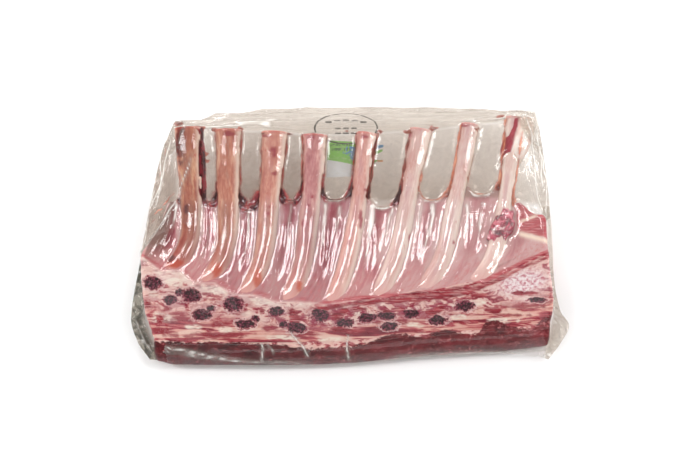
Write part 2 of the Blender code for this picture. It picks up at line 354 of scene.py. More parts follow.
# rib 8 keeps a strip of muscle and fat
def rind8(x, y):
    t = rib_t(7, y)
    d = (x - rib_x(7, y) - 0.6 - 3.2 * smooth(1.45, 1.9, t)) / 8.5
    grow = smooth(1.35, 1.62, t) * (1 - smooth(2.0, 2.03, t))
    return np.where(np.abs(d) < 1, crown(7, np.clip(t, 0, 2)) - PROUD + (PROUD + 0.9) * np.sqrt(np.clip(1 - np.abs(d) ** 2.6, 0, 1)) * grow, -50)


TOP0 = np.maximum(TOP0, rind8(XX, YY))
BONE_TOP = np.maximum(BONE_TOP, np.where(rib_t(7, YY) > 1.5, rind8(XX, YY), -50))

tight = closing(TOP0, 0.9, 5.0)
slack = closing(TOP0, 6.0, 12.0)
mix = (1 - smooth(0.9, 1.05, TT)) * 0.8
FILM_T = tight + (slack - tight) * mix
FILL = FILM_T - TOP0
FILM_T = blur(np.maximum(blur(FILM_T, 0.5), TOP0) + 0.25, 0.35) + 0.2
FILM_B = -closing(-BOT0, 1.6, 7.0)
FILL_B = BOT0 - FILM_B
FILM_B = np.minimum(blur(FILM_B, 0.55), BOT0 - 0.12)


def sample(field, x, y):
    fx = np.clip((np.asarray(x) - GX[0]) / STEP, 0, len(GX) - 1.001)
    fy = np.clip((np.asarray(y) - GY[0]) / STEP, 0, len(GY) - 1.001)
    i, j = fx.astype(int), fy.astype(int)
    a, b = fx - i, fy - j
    return (field[j, i] * (1 - a) * (1 - b) + field[j, i + 1] * a * (1 - b)
            + field[j + 1, i] * (1 - a) * b + field[j + 1, i + 1] * a * b)


# ------------------------------------------------------------------ slanted chart plane for placing marks, in mm
TILT = math.radians(68.0)
SIN, COS = math.sin(TILT), math.cos(TILT)
DIST, NEAR, MIDB = 1069.0, 25.0, 6.82


def chart(x, y, z):
    """(a, b) of a point on the plane that faces the rack's shown side."""
    b, w = y * SIN + z * COS, -y * COS + z * SIN
    k = DIST / (DIST - w + NEAR)
    return x * k, (b - MIDB) * k + MIDB


# ------------------------------------------------------------------ columns and rows of the lofted skins
def columns(rib_n, gap_n, left_n, right_n):
    out = [("left", 0, i / left_n) for i in range(left_n)]
    for k in range(8):
        out += [("rib", k, -1 + 2 * i / rib_n) for i in range(rib_n + 1)]
        if k < 7:
            out += [("gap", k, 0.5 - 0.5 * math.cos(math.pi * i / gap_n)) for i in range(1, gap_n)]
    out += [("right", 7, (i + 1) / right_n) for i in range(right_n)]
    return out


def rib_line(k, t):
    t = np.asarray(t, float)
    y = np.where(t <= 1, ROOT_Y[k] + (FRENCH_Y - ROOT_Y[k]) * np.clip(t, 0, 1),
                 FRENCH_Y + (TIP_Y[k] - FRENCH_Y) * np.clip(t - 1, 0, 1))
    x0 = RIB_X[k] + RIB_LEAN[k] * (y - FRENCH_Y)
    flap = through(FLAP_Y, x0)
    y = np.where(t > 2, y + (flap - y) * (t - 2), y)
    return rib_x(k, y), y, rib_half(k, np.clip(t, 0, 2))


def edge_line(kind, t, wall):
    edge, root = (LEFT_EDGE, LEFT_ROOT) if kind == "left" else (RIGHT_EDGE, RIGHT_ROOT)
    top = max(edge)[0]
    y = np.where(t <= 1, root + (FRENCH_Y - root) * t, FRENCH_Y + (top - FRENCH_Y) * (t - 1) / 2)
    if wall:
        x = through(LEFT_WALL, y) + 0.5 if kind == "left" else through(RIGHT_WALL, y) - 0.5
    else:
        x = through(edge, y)
    return x, y


def plan(col, t, wall=False):
    kind, k, a = col
    x, y, half = rib_line(k, t)
    if kind == "rib":
        return x + a * half, y
    if kind == "gap":
        x2, y2, half2 = rib_line(k + 1, t)
        left, right = x + half, x2 - half2
        return left + a * (right - left), y + a * (y2 - y)
    ex, ey = edge_line(kind, np.asarray(t, float), wall)
    if kind == "left":
        return ex + a * (x - half - ex), ey + a * (y - ey)
    return x + half + a * (ex - x - half), y + a * (ey - y)


def col_c(col):
    """c across the ribs for a column (roughly: exact on ribs and mid-gap)."""
    kind, k, a = col
    if kind == "rib":
        return k + 0.27 * a
    if kind == "gap":
        return k + 0.27 + 0.46 * a
    if kind == "left":
        return -1 + 0.73 * a
    return 7.27 + 0.73 * a


_x0 = [float(plan(("rib", 0, -1.0), 0.0)[0]), float(plan(("rib", 7, 1.0), 0.0)[0])]


def spread(x):
    lo, hi = -96.0, 84.0
    return lo + (hi - lo) * (np.asarray(x, float) - _x0[0]) / (_x0[1] - _x0[0])


def foot_y(x):
    return through(((-122, -63.8), (-90, -64.4), (-40, -64.6), (0, -63.4), (27, -60.6), (55, -58.4), (82, -56.8), (112, -55.0)), x)


def face_plan(col, s, wall=False):
    """(x, y, inner z) on the sawn face, s from 0 at the ridge to 1 at the foot."""
    s = np.asarray(s, float)
    kind, k, a = col
    if kind in ("rib", "gap"):
        x, y = plan(col, 0.0)
        fx = x + (spread(x) - x) * s
        fy = y + (foot_y(fx) - y) * s
    else:
        start = _x0[0] if kind == "left" else _x0[1]
        inner = start + (spread(start) - start) * s
        root_y = ROOT_Y[k]
        inner_y = root_y + (foot_y(inner) - root_y) * s
        root = LEFT_ROOT if kind == "left" else RIGHT_ROOT
        share = a if kind == "left" else 1 - a
        if wall:
            edge_y = root + (foot_y(-100.0 if kind == "left" else 100.0) + 2.5 - root) * s
            edge_x = through(LEFT_WALL, edge_y) + 0.5 if kind == "left" else through(RIGHT_WALL, edge_y) - 0.5
        else:
            edge_y = root + (CORNER_Y - root) * s
            edge_x = through(LEFT_EDGE if kind == "left" else RIGHT_EDGE, edge_y)
        fx = edge_x + (inner - edge_x) * share
        fy = edge_y + (inner_y - edge_y) * share
    return fx, fy, RIDGE + (FOOT_Z - RIDGE) * s


def front_curve(v):
    """(dy, z) below the foot, v from 0 at the foot to 1 on the table."""
    n = len(FRONT) - 1
    at = np.asarray(v, float) * n
    ks = np.arange(n + 1)
    dy = through(tuple(zip(ks, [p[0] for p in FRONT])), at)
    z = through(tuple(zip(ks, [p[1] for p in FRONT])), at)
    return dy, z


def grid_mesh(name, points, closed_u=False, attrs=None, flip=False, caps=None):
    """points: rows x columns x 3 in mm, in the rack's frame."""
    nr, nc = points.shape[:2]
    verts = (points.reshape(-1, 3) + OFF) * MM
    idx = np.arange(nr * nc).reshape(nr, nc)
    if closed_u:
        idx = np.concatenate([idx, idx[:, :1]], axis=1)
    q = np.stack([idx[:-1, :-1], idx[1:, :-1], idx[1:, 1:], idx[:-1, 1:]], axis=-1).reshape(-1, 4)
    if flip:
        q = q[:, ::-1]
    mesh = bpy.data.meshes.new(name)
    mesh.vertices.add(len(verts))
    mesh.vertices.foreach_set("co", verts.astype(np.float32).ravel())
    mesh.loops.add(q.size)
    mesh.loops.foreach_set("vertex_index", q.astype(np.int32).ravel())
    mesh.polygons.add(len(q))
    mesh.polygons.foreach_set("loop_start", np.arange(0, q.size, 4, dtype=np.int32))
    mesh.polygons.foreach_set("loop_total", np.full(len(q), 4, np.int32))
    mesh.update(calc_edges=True)
    mesh.shade_smooth()
    for key, value in (attrs or {}).items():
        value = np.asarray(value, float)
        if value.ndim == 3:
            layer = mesh.attributes.new(key, "FLOAT_VECTOR", "POINT")
            layer.data.foreach_set("vector", value.reshape(-1, 3).astype(np.float32).ravel())
        else:
            layer = mesh.attributes.new(key, "FLOAT", "POINT")
            layer.data.foreach_set("value", value.astype(np.float32).ravel())
    obj = bpy.data.objects.new(name, mesh)
    bpy.context.scene.collection.objects.link(obj)
    return obj


def face_out(obj, up=None):
    """Turns the mesh so that it faces out: a closed one by its volume, a sheet by the way it should look."""
    mesh = obj.data
    co = np.empty(len(mesh.vertices) * 3, np.float32)
    mesh.vertices.foreach_get("co", co)
    co = co.reshape(-1, 3).astype(float)
    quads = np.array([p.vertices[:4] for p in mesh.polygons])
    a, b, c, d = (co[quads[:, i]] for i in range(4))
    n = np.cross(c - a, d - b)
    value = (n * (0.25 * (a + b + c + d) - co.mean(0))).sum() if up is None else n[:, 2].sum() * up
    if value < 0:
        mesh.flip_normals()
    return obj


def grid_normals(p):
    du = np.gradient(p, axis=1)
    dv = np.gradient(p, axis=0)
    n = np.cross(du, dv)
    return n / np.maximum(np.linalg.norm(n, axis=2, keepdims=True), 1e-9)


# ------------------------------------------------------------------ marks on the sawn face: (a, b, half length, half height)
MARROW = (
    (-109.0, -20.4, 5.0, 3.7), (-87.3, -27.4, 4.6, 4.0), (-64.4, -31.6, 5.0, 3.9), (-40.7, -36.2, 4.4, 2.9),
    (-16.5, -38.0, 5.0, 3.3), (9.9, -39.7, 4.7, 2.5), (34.1, -36.9, 4.7, 2.5), (62.7, -33.1, 5.4, 2.7), (103.0, -29.8, 5.2, 1.5),
    (-99.0, -29.8, 3.9, 2.6), (-81.4, -38.0, 4.8, 2.9), (-57.2, -43.0, 4.8, 2.9), (-29.7, -45.2, 5.2, 2.9),
    (-2.8, -42.2, 4.8, 2.4), (22.0, -44.1, 4.6, 2.3), (49.0, -40.8, 5.0, 2.5),
    (-94.2, -25.6, 2.4, 1.9), (-76.5, -34.5, 2.6, 2.0), (-52.0, -39.8, 2.4, 1.8), (20.5, -38.4, 5.0, 2.2), (-36.5, -43.5, 2.6, 1.6),
)
RED_MARKS = (
    (-31.9, -37.4, 2.6, 4.2), (-3.3, -35.8, 3.2, 1.8), (20.9, -37.2, 3.2, 2.4), (-48.4, -35.8, 1.5, 1.7), (-56.8, -32.5, 0.9, 1.2),
    (44.0, -36.6, 3.6, 2.0), (3.0, -47.0, 6.0, 1.4), (96.0, -26.0, 7.5, 1.3), (-104.6, -41.0, 2.2, 3.0), (70.0, -27.0, 6.0, 1.2),
    (-30.2, -40.5, 3.2, 4.6), (-6.8, -38.8, 3.8, 2.4), (-111.5, -32.2, 3.2, 1.8), (49.5, -34.5, 4.4, 2.2), (78.7, -35.6, 4.4, 2.2), (37.5, -46.6, 5.0, 1.0),
    (-48.4, -36.2, 1.4, 1.4), (64.0, -42.0, 5.5, 1.1), (-5.0, -46.2, 6.0, 2.0), (26.0, -34.8, 4.0, 1.0), (-15.0, -34.0, 5.0, 0.9), (5.0, -34.6, 4.0, 1.0),
)
WHITE_MARKS = (
    (-102.3, -39.4, 7.0, 3.6), (-67.3, -46.4, 4.5, 1.7), (-75.0, -24.5, 9.0, 2.2), (-97.0, -19.5, 6.5, 2.4), (-48.6, -30.5, 7.0, 1.8), (-86.0, -44.5, 5.0, 1.5),
    (60.0, -39.0, 6.0, 1.7), (85.0, -40.8, 9.0, 1.8), (-38.0, -50.3, 9.0, 1.4), (-10.0, -51.5, 9.0, 1.6), (36.0, -43.6, 4.5, 1.4), (70.0, -31.2, 5.0, 1.3),
    (-108.0, -26.5, 3.0, 2.2), (-57.5, -37.0, 3.0, 1.6), (4.0, -37.0, 3.0, 1.2),
)
PINK_MARKS = (
    (-71.3, -42.9, 4.2, 1.9), (-93.9, -38.6, 6.5, 2.4), (-75.0, -49.3, 24.0, 2.3), (-104.0, -46.6, 7.0, 1.7), (-44.0, -45.3, 4.5, 1.8), (-24.0, -48.6, 8.0, 1.8),
    (98.0, -33.4, 11.0, 2.0), (108.0, -31.0, 4.0, 1.2), (-62.0, -37.0, 3.0, 1.2), (90.0, -38.0, 9.0, 0.9), (14.0, -41.6, 3.0, 1.4), (30.0, -41.8, 3.2, 1.4), (-100.0, -34.6, 3.4, 1.6),
)
EYE = ((-126.0, -49.6), (-107.3, -52.6), (-82.5, -53.2), (-46.8, -53.7), (-22.0, -56.2), (0.0, -55.1), (16.5, -50.7), (27.5, -47.9),
       (38.5, -50.1), (52.3, -45.7), (63.8, -48.5), (70.4, -47.9), (74.2, -42.4), (80.9, -40.8), (88.0, -44.1), (99.0, -45.7), (107.3, -39.1), (122.0, -34.0))
RED_STRIP = ((-30.0, -34.5), (-17.6, -33.6), (0.0, -30.5), (27.5, -28.4), (44.0, -27.2), (55.0, -25.6), (71.5, -21.2), (82.5, -16.8), (93.5, -11.3), (110.0, -4.0))


def spots(a, b, table, rough=0.3, seed=5, tilt=0.0):
    out = np.full(np.shape(a), -9.0)
    wobble = fbm(a / 3.2, b / 3.2, seed=seed, octaves=3)
    for i, (a0, b0, ra, rb) in enumerate(table):
        da, db = a - a0, b - b0
        out = np.maximum(out, 1 - np.sqrt((da / ra) ** 2 + (db / rb) ** 2) + rough * wobble)
    return out


print("loin block")


def build_meat():
    cols = columns(14, 18, 18, 46)
    n_top, n_face, n_front, n_under, n_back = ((78, 48, 26, 20, 16))
    rows_top = np.linspace(1, 0, n_top, endpoint=False)
    rows_face = np.linspace(0, 1, n_face, endpoint=False)
    rows_front = np.linspace(0, 1, n_front, endpoint=False)
    P, A = [], {"kind": [], "along": [], "cc": []}
    for col in cols:
        # top, from the window edge in to the ridge
        t1 = 1.0
        xe, ye = plan(col, t1, wall=True)
        c = col_c(col)
        ce = sample(CC, xe, ye)
        edge = float(meat_edge_y(np.array(ce), np.array(xe)))
        t_edge = 1 + (edge - float(ye)) / 47.0
        t = rows_top * t_edge
        x, y = plan(col, t, wall=True)
        cc, tt = sample(CC, x, y), sample(TT, x, y)
        z = sample(MEM, x, y) + (meat_top(tt, cc, x, y) - sample(MEM, x, y)) * quarter(np.clip(edge - y, 0, 9) + 0.02, 2.2)
        z = np.where(t < 0.2, z + (meat_top(t, cc, x, y) - z) * 1.0, z) - 0.25
        top = np.stack([x, y, z], 1)
        fx, fy, fz = face_plan(col, rows_face, wall=True)
        face = np.stack([fx, fy, fz - 0.25], 1)
        bx, by, _ = face_plan(col, 1.0, wall=True)
        dy, z = front_curve(rows_front)
        front = np.stack([np.full(n_front, float(bx)), float(by) + dy * 0.96 + 0.35, np.maximum(z, 0.5)], 1)
        # under side back to the window edge
        v = np.linspace(0, 1, n_under, endpoint=False)
        x_top, y_top = top[0, 0], top[0, 1]
        under_y = float(by) - 0.8 + (-1.0 - (float(by) - 0.8)) * v
        ux = float(bx) + (x_top - float(bx)) * smooth(0.3, 1.0, v) * 0.8
        under = np.stack([ux, under_y, np.full(n_under, 0.45)], 1)
        w = np.linspace(0, 1, n_back, endpoint=False)
        back = ((0.0, -1.0, 0.45), (0.2, 4.2, 1.3), (0.45, 10.6, 5.4), (0.7, 14.6, 11.5), (0.88, 15.9, 17.0), (1.0, y_top, top[0, 2]))
        by_ = through(tuple((p[0], p[1]) for p in back[:-1]) + ((1.0, max(y_top, 16.0)),), w)
        by_ = by_ + (y_top - max(y_top, 16.0)) * smooth(0.0, 1.0, w)
        bz_ = through(tuple((p[0], p[2]) for p in back), w)
        bxs = float(bx) + (x_top - float(bx)) * (0.8 + 0.2 * smooth(0, 1, w))
        backp = np.stack([bxs, by_, bz_], 1)
        loop = np.concatenate([top, face, front, under, backp])
        P.append(loop)
        A["kind"].append(np.concatenate([np.zeros(n_top), np.full(n_face, 1.0), np.full(n_front, 2.0), np.full(n_under, 3.0), np.full(n_back, 4.0)]))
        A["along"].append(np.concatenate([t, rows_face, rows_front, v, w]))
        A["cc"].append(np.full(len(loop), c))
    P = np.array(P)                     # columns x loop x 3
    kind, along, cc = (np.array(A[k]) for k in ("kind", "along", "cc"))
    nc = len(cols)
    # rounded ends: rings that shrink in towards the middle of each end
    r = 2.4
    for side, seq in ((0, range(0, 14)), (1, range(nc - 1, nc - 15, -1))):
        for i in seq:
            base = P[i]
            gap = np.abs(base[:, 0] - P[0 if side == 0 else nc - 1][:, 0])
            s = np.clip(gap / r, 0, 1)
            inset = r * (1 - np.sqrt(np.clip(1 - (1 - s) ** 2, 0, 1)))
            nxt, prv = np.roll(base, -1, 0), np.roll(base, 1, 0)
            tan = nxt - prv
            nrm = np.stack([np.zeros(len(base)), -tan[:, 2], tan[:, 1]], 1)
            nrm /= np.maximum(np.linalg.norm(nrm, axis=1, keepdims=True), 1e-6)
            P[i] = base - nrm * inset[:, None] * orient(base)
    caps_n = 16
    rings_l, rings_r = [], []
    for side, store in ((0, rings_l), (nc - 1, rings_r)):
        loop = P[side]
        middle = np.array([loop[:, 0].mean(), -27.0, 16.5])
        for i in range(1, caps_n + 1):
            s = 1 - i / caps_n
            s = max(s, 0.004)
            ring = middle + (loop - middle) * s
            flat = loop[:, 0].mean() + (-1 if side == 0 else 1) * 0.7 * (1 - s * s)
            ring[:, 0] = flat + (loop[:, 0] - loop[:, 0].mean()) * s
            store.append(ring)
    full = np.concatenate([np.array(rings_l[::-1]), P, np.array(rings_r)])
    cap = np.concatenate([1 - np.linspace(0, 1, caps_n, endpoint=False) * 0, np.zeros(nc), np.ones(caps_n)])
    capf = np.repeat(cap[:, None], full.shape[1], 1)
    pad = lambda m: np.concatenate([np.repeat(m[:1], caps_n, 0), m, np.repeat(m[-1:], caps_n, 0)])
    return full, pad(kind), pad(along), pad(cc), capf


def orient(loop):
    """+1 if the loop's left-hand normal points out."""
    y, z = loop[:, 1], loop[:, 2]
    area = 0.5 * np.sum(y * np.roll(z, -1) - np.roll(y, -1) * z)
    return -1.0 if area > 0 else 1.0


MEATP, KIND, ALONG, MC, CAP = build_meat()
a_, b_ = chart(MEATP[..., 0], MEATP[..., 1], MEATP[..., 2])
x_, y_, z_ = MEATP[..., 0], MEATP[..., 1], MEATP[..., 2]
top_m, face_m, front_m = (KIND == 0) & (CAP < 0.5), (KIND == 1) & (CAP < 0.5), (KIND == 2) & (CAP < 0.5)
shown = top_m | face_m | front_m
eye_line = through(EYE, a_) + 0.9 * fbm(a_ / 4.5, b_ / 4.5, seed=11)
eye = np.where(face_m | front_m, smooth(-0.6, 0.6, eye_line - b_), 0.0)
eye_f = np.where(face_m | front_m, np.clip(eye_line - b_, -4, 4), -4.0)
marrow_raw = spots(a_, b_, MARROW, 0.38, 5)
marrow = np.where(face_m | (top_m & (ALONG < 0.05)), smooth(-0.06, 0.12, marrow_raw), 0.0)
marrow_f = np.where(face_m | (top_m & (ALONG < 0.04)), np.clip(marrow_raw, -2, 2), -2.0)
rim = np.where(face_m, smooth(-0.42, -0.16, marrow_raw) * (1 - smooth(-0.1, 0.05, marrow_raw)), 0.0)
red_raw = spots(a_, b_, RED_MARKS, 0.5, 8)
pink_raw = spots(a_, b_, PINK_MARKS, 0.6, 12)
strip = through(RED_STRIP, a_)
strip_d = b_ - strip + 0.7 * fbm(a_ / 6, b_ / 6, seed=21)
strip_w = 0.75 + 0.5 * noise(a_ / 7.0, 3.0, seed=22)
upper = smooth(-0.3, 0.4, 1 - np.abs(strip_d - 1.5) / (strip_w + 0.4))
lower = smooth(-0.3, 0.4, 1 - np.abs(strip_d + 1.3) / (1.35 + 0.6 * noise(a_ / 9.0, 9.0, seed=23)))
red_strip = np.clip(np.maximum(upper, lower) * smooth(-24, -12, a_) * (0.9 + 0.25 * noise(a_ / 4.0, b_ / 1.5, seed=24)), 0, 1)
_n = fbm(x_ / 3, y_ / 3, seed=4)
_below = y_ + 6.0 + 0.43 * (x_ - 94.0)           # the fat seam that bounds the flank muscle
triangle = smooth(91.0, 93.0, x_ + 0.9 * _n) * smooth(1.6, 2.6, _below + 0.6 * _n) * top_m
seam = np.exp(-(_below / 2.0) ** 2) * smooth(90.0, 94.0, x_) * top_m
# a pale line along the seam whose gloss is painted in as cream colour: painted highlight over fat
gloss_seam = np.exp(-((y_ - 3.0 - 0.35 * (x_ - 94)) / 0.9) ** 2) * smooth(91.0, 95.0, x_) * (1 - smooth(101.0, 104.0, x_)) * top_m
triangle = triangle * (1 - 0.85 * gloss_seam)
red = np.maximum.reduce([np.where(face_m | top_m, smooth(-0.05, 0.2, red_raw), 0), np.where((face_m & (ALONG < 0.6)) | (top_m & (ALONG < 0.35)), red_strip, 0), triangle])
stain = np.where(face_m, smooth(-52, -40, a_) * (1 - smooth(55, 72, a_)) * np.exp(-((b_ - through(RED_STRIP, a_) + 7.0) / 5.5) ** 2), 0.0)
stain = np.maximum(stain, np.where(face_m, 0.45 * np.exp(-((b_ + 33) / 9.0) ** 2) * (1 - smooth(-60, -40, a_)), 0.0))
stain = np.maximum(stain, np.where(face_m | top_m, 0.9 * np.exp(-((strip_d + 0.2) / 2.6) ** 2) * smooth(-24, -8, a_) * (1 - smooth(70, 92, a_)) * smooth(-20, -31, b_ - 0.22 * a_ * 0), 0.0))
pinks = np.where(face_m, smooth(-0.15, 0.3, pink_raw), 0.0)
# white fat at the right end, painted whiter still as a highlight for its gloss
white_fat_and_sheen = np.where(face_m | top_m, np.exp(-(((a_ - 95.0) / 13.0) ** 2) - (((b_ + 20.0 - 0.15 * (a_ - 95)) / 6.5) ** 2)) * (1 - red_strip), 0.0)
white_fat_and_sheen = np.clip(1.5 * white_fat_and_sheen, 0, 1)
# how much of the pink muscle streaks shows on the face: more low down, less at the bones
whites = np.where(face_m, smooth(-0.1, 0.35, spots(a_, b_, WHITE_MARKS, 0.5, 33)), 0.0)
band = np.where(face_m, smooth(0.42, 0.78, ALONG + 0.10 * fbm(a_ / 9, b_ / 5, seed=27)), 0)
cap_fat = np.where((KIND >= 3) & (CAP < 0.5), 1.0, np.where(front_m, smooth(0.72, 0.95, ALONG), 0.0))
# end faces: the eye of the loin in its rim of fat, bone near the ridge
ye0, ze0 = (y_ + 36.0) / 25.0, (z_ - 15.5 - 0.12 * (y_ + 36)) / 12.5
end_eye = 1 - np.sqrt(ye0**2 + ze0**2) + 0.12 * fbm(y_ / 6, z_ / 6, seed=9)
end_bone = 1 - np.sqrt(((y_ + 31) / 7.5) ** 2 + ((z_ - 36.5) / 3.6) ** 2) + 0.15 * fbm(y_ / 3, z_ / 3, seed=19)
eye = np.where(CAP > 0.5, smooth(-0.03, 0.05, end_eye), eye)
eye_f = np.where(CAP > 0.5, end_eye * 18, eye_f)
marrow = np.where(CAP > 0.5, smooth(0.0, 0.2, end_bone), marrow)
marrow_f = np.where(CAP > 0.5, end_bone, marrow_f)
layers = np.sin((z_ + 0.30 * y_) * 0.42 + 2.6 * fbm(y_ / 11, z_ / 7, seed=2))
red = np.maximum(red, np.where(top_m, 0.75 * np.exp(-((ALONG - 0.045) / 0.016) ** 2) * (1 - smooth(-20, 10, a_)) * smooth(-0.25, 0.3, fbm(a_ / 7.0, 3.0, seed=44)), 0.0))
red = np.where(CAP > 0.5, smooth(0.35, 0.75, layers) * smooth(-0.12, -0.3, end_eye) * (1 - smooth(0.0, 0.15, end_bone)) * smooth(4.0, 7.0, z_), red)
inner = np.where(top_m, 1.0, 0.0)
# relief: bones stand up a little with a rim, muscle rounds out, strands run along
nrm = grid_normals(MEATP)
side = np.sign((nrm[..., 2] * (z_ - 16) + nrm[..., 1] * (y_ + 27)).mean())
nrm = nrm * side
lift = 0.3 * rim - 0.3 * marrow + 0.3 * marrow * fbm(a_ / 1.3, b_ / 1.3, seed=14) + 0.25 * eye * fbm(a_ / 7, b_ / 4, seed=15)
lift = lift + np.where(face_m, 0.3 * fbm(a_ / 9, b_ / 2.2, seed=16) + 0.15 * fbm(a_ / 3, b_ / 1.6, seed=17), 0)
lift = lift + np.where(top_m, 0.25 * fbm(x_ / 2.2, y_ / 7, seed=18), 0) + 0.3 * red_strip * face_m
lift = lift + np.where(KIND >= 3, 0.0, 0.0)
lift = np.where((KIND == 3), 0.0, lift)
MEAT3 = MEATP + nrm * (lift * (1 - 0.0 * CAP))[..., None]
MEAT3[..., 2] = np.maximum(MEAT3[..., 2], 0.35)
flow = np.stack([np.where(top_m, MC * 26.5, x_), np.where(top_m, ALONG * 60.0, b_), np.where(top_m, 7.0 * np.floor(MC), KIND * 31.0)], -1)
# painted shade: one of these attributes ramps the eye from dark at its left end to bright at its right
# the ridge attribute pales the fat band along the ridge, partly as a painted highlight line
loin = grid_mesh("loin", MEAT3, closed_u=True, flip=side < 0, attrs={
    "eye": eye_f, "marrow": marrow_f, "stain": stain, "seam": np.maximum(seam, gloss_seam), "rim": rim, "red": red, "band": band, "capfat": cap_fat, "pinks": pinks, "whites": whites, "white_fat_and_sheen": white_fat_and_sheen, "ridge": np.where(face_m, np.exp(-(ALONG / 0.14) ** 2), np.where(top_m, np.exp(-(ALONG / 0.016) ** 2), 0.0)) * (1 - smooth(10, 40, a_)), "gapk": np.clip(MC, -1, 8), "painted_shade_eye": smooth(-60, 40, a_), "glint": np.where(face_m | front_m, np.exp(-((a_ - 99.0) / 9.0) ** 2 - ((b_ + 44.5) / 4.5) ** 2), 0.0), "inner": inner, "endface": CAP,
    "flow": flow * MM, "tt": np.where(top_m, ALONG, 0.0), "gapf": np.where(top_m, MC - np.floor(MC), 0.5),
    "chart": np.stack([np.where(CAP > 0.5, y_ * 1.2, a_), np.where(CAP > 0.5, z_ * 1.2, b_), z_ * 0], -1) * MM})
PIECES = [(loin, "meat")]

# ------------------------------------------------------------------ bones
print("bones")


def build_bone(k):
    n = 150
    m = 30
    y = np.linspace(ROOT_Y[k] + 0.5, TIP_Y[k], n)
    t = rib_t(k, y)
    x = rib_x(k, y)
    slope = np.gradient(x, y)
    half = rib_half(k, t)
    zc = crown(k, t) - BONE / 2
    thick = BONE / 2 * (0.8 + 0.2 * smooth(0.8, 1.1, t))
    zc = crown(k, t) - thick - 1.1 * smooth(0.2, 0.0, t)
    dz = np.gradient(zc, y)
    ang = np.linspace(0, 2 * np.pi, m, endpoint=False)
    e = 2.0 / 2.3
    ca, sa = np.cos(ang), np.sin(ang)
    ox, oz = np.sign(ca) * np.abs(ca) ** e, np.sign(sa) * np.abs(sa) ** e
    along = np.stack([slope, np.ones(n), dz], 1)
    along /= np.linalg.norm(along, axis=1, keepdims=True)
    across = np.stack([np.ones(n), -slope, np.zeros(n)], 1)
    across /= np.linalg.norm(across, axis=1, keepdims=True)
    up = np.cross(across, along)
    up *= np.sign(up[:, 2:3])
    centre = np.stack([x, y, zc], 1)
    lump = 0.12 * fbm(y[:, None] / 5, 3 * ang[None, :] / 6.3 + 0 * y[:, None], k * 3.1, seed=40) + 0.08 * fbm(y[:, None] / 1.4, ang[None, :] * 1.5, k * 1.7, seed=41)
    rad = 1 + lump * 0.25
    p = centre[:, None] + across[:, None] * (half[:, None] * ox[None] * rad)[..., None] + up[:, None] * (thick[:, None] * oz[None] * rad)[..., None]
    # the sawn tip: a rounded rim, then a flat end with a marrow core
    rings = []
    last = p[-1]
    mid = centre[-1]
    for s, out in ((0.985, 0.25), (0.94, 0.42), (0.86, 0.5), (0.7, 0.5), (0.55, 0.46), (0.38, 0.42), (0.2, 0.4), (0.01, 0.4)):
        rings.append(mid + (last - mid) * s + along[-1] * out)
    first = p[0]
    inner_rings = [centre[0] + (first - centre[0]) * s - along[0] * o for s, o in ((0.01, 1.2), (0.6, 1.0), (0.9, 0.5))]
    full = np.concatenate([np.array(inner_rings), p, np.array(rings)])
    tt = np.concatenate([[t[0]] * 3, t, [2.0] * len(rings)])
    core = np.concatenate([np.zeros(3 + n), [0, 0, 0.05, 0.3, 0.7, 1, 1, 1]])
    ones = np.ones((1, m))
    cross = np.tile(ox, (len(full), 1))
    attrs = {"tt": tt[:, None] * ones, "core": core[:, None] * ones, "cross": cross, "rib": np.full((len(full), m), float(k)),
             "flow": np.stack([cross * 6.0 + 31.0 * k, (tt * 45.0)[:, None] * ones, np.tile(oz, (len(full), 1)) * 4.5], -1) * MM}
    a, b = chart(full[..., 0], full[..., 1], full[..., 2])
    blot = spots(a, b, BLOTCHES, 0.55, 60)
    attrs["blot"] = smooth(-0.1, 0.35, blot)
    orange = spots(a, b, ORANGE, 0.35, 61)
    attrs["orange"] = smooth(-0.15, 0.5, orange)
    return grid_mesh(f"rib_{k + 1}", full, closed_u=True, attrs=attrs, flip=True)


BLOTCHES = (
    (-93.6, 55.5, 3.2, 11.0), (-42.0, 52.0, 2.4, 3.6), (-41.2, 40.0, 1.6, 1.4), (-45.0, 18.0, 1.2, 1.2), (-44.0, 21.5, 0.9, 0.8),
    (-25.0, 12.6, 1.6, 1.9), (6.0, 13.5, 1.2, 6.0), (8.5, 30.5, 0.9, 0.9), (31.5, 61.0, 2.2, 2.0), (-67.0, 62.0, 3.8, 1.6),
    (-20.5, 27.0, 0.8, 1.0), (-22.3, 22.0, 0.9, 0.8), (-90.0, 20.0, 1.4, 3.0), (62.0, 66.0, 3.0, 1.0), (-100.0, -7.0, 5.0, 2.6), (8.0, 60.0, 2.0, 1.0),
    (33.0, 4.0, 1.0, 3.2), (57.0, 2.0, 0.8, 1.6), (-46.0, 60.5, 3.0, 1.0), (-21.0, 59.5, 2.0, 1.0),
)
ORANGE = ((-73.4, -13.8, 3.0, 5.6), (-50.8, -18.0, 3.0, 5.6), (-96.5, -9.5, 5.0, 3.0), (-28.0, -22.0, 2.0, 4.0))
for k in range(8):
    PIECES.append((build_bone(k), "bone"))

# ------------------------------------------------------------------ the film, upper side
print("film")
FILM_COLS = columns(14, 20, 36, 50)


def film_loaf(x, y, radius):
    return quarter(wall_gap(x, y) + 0.7, radius)


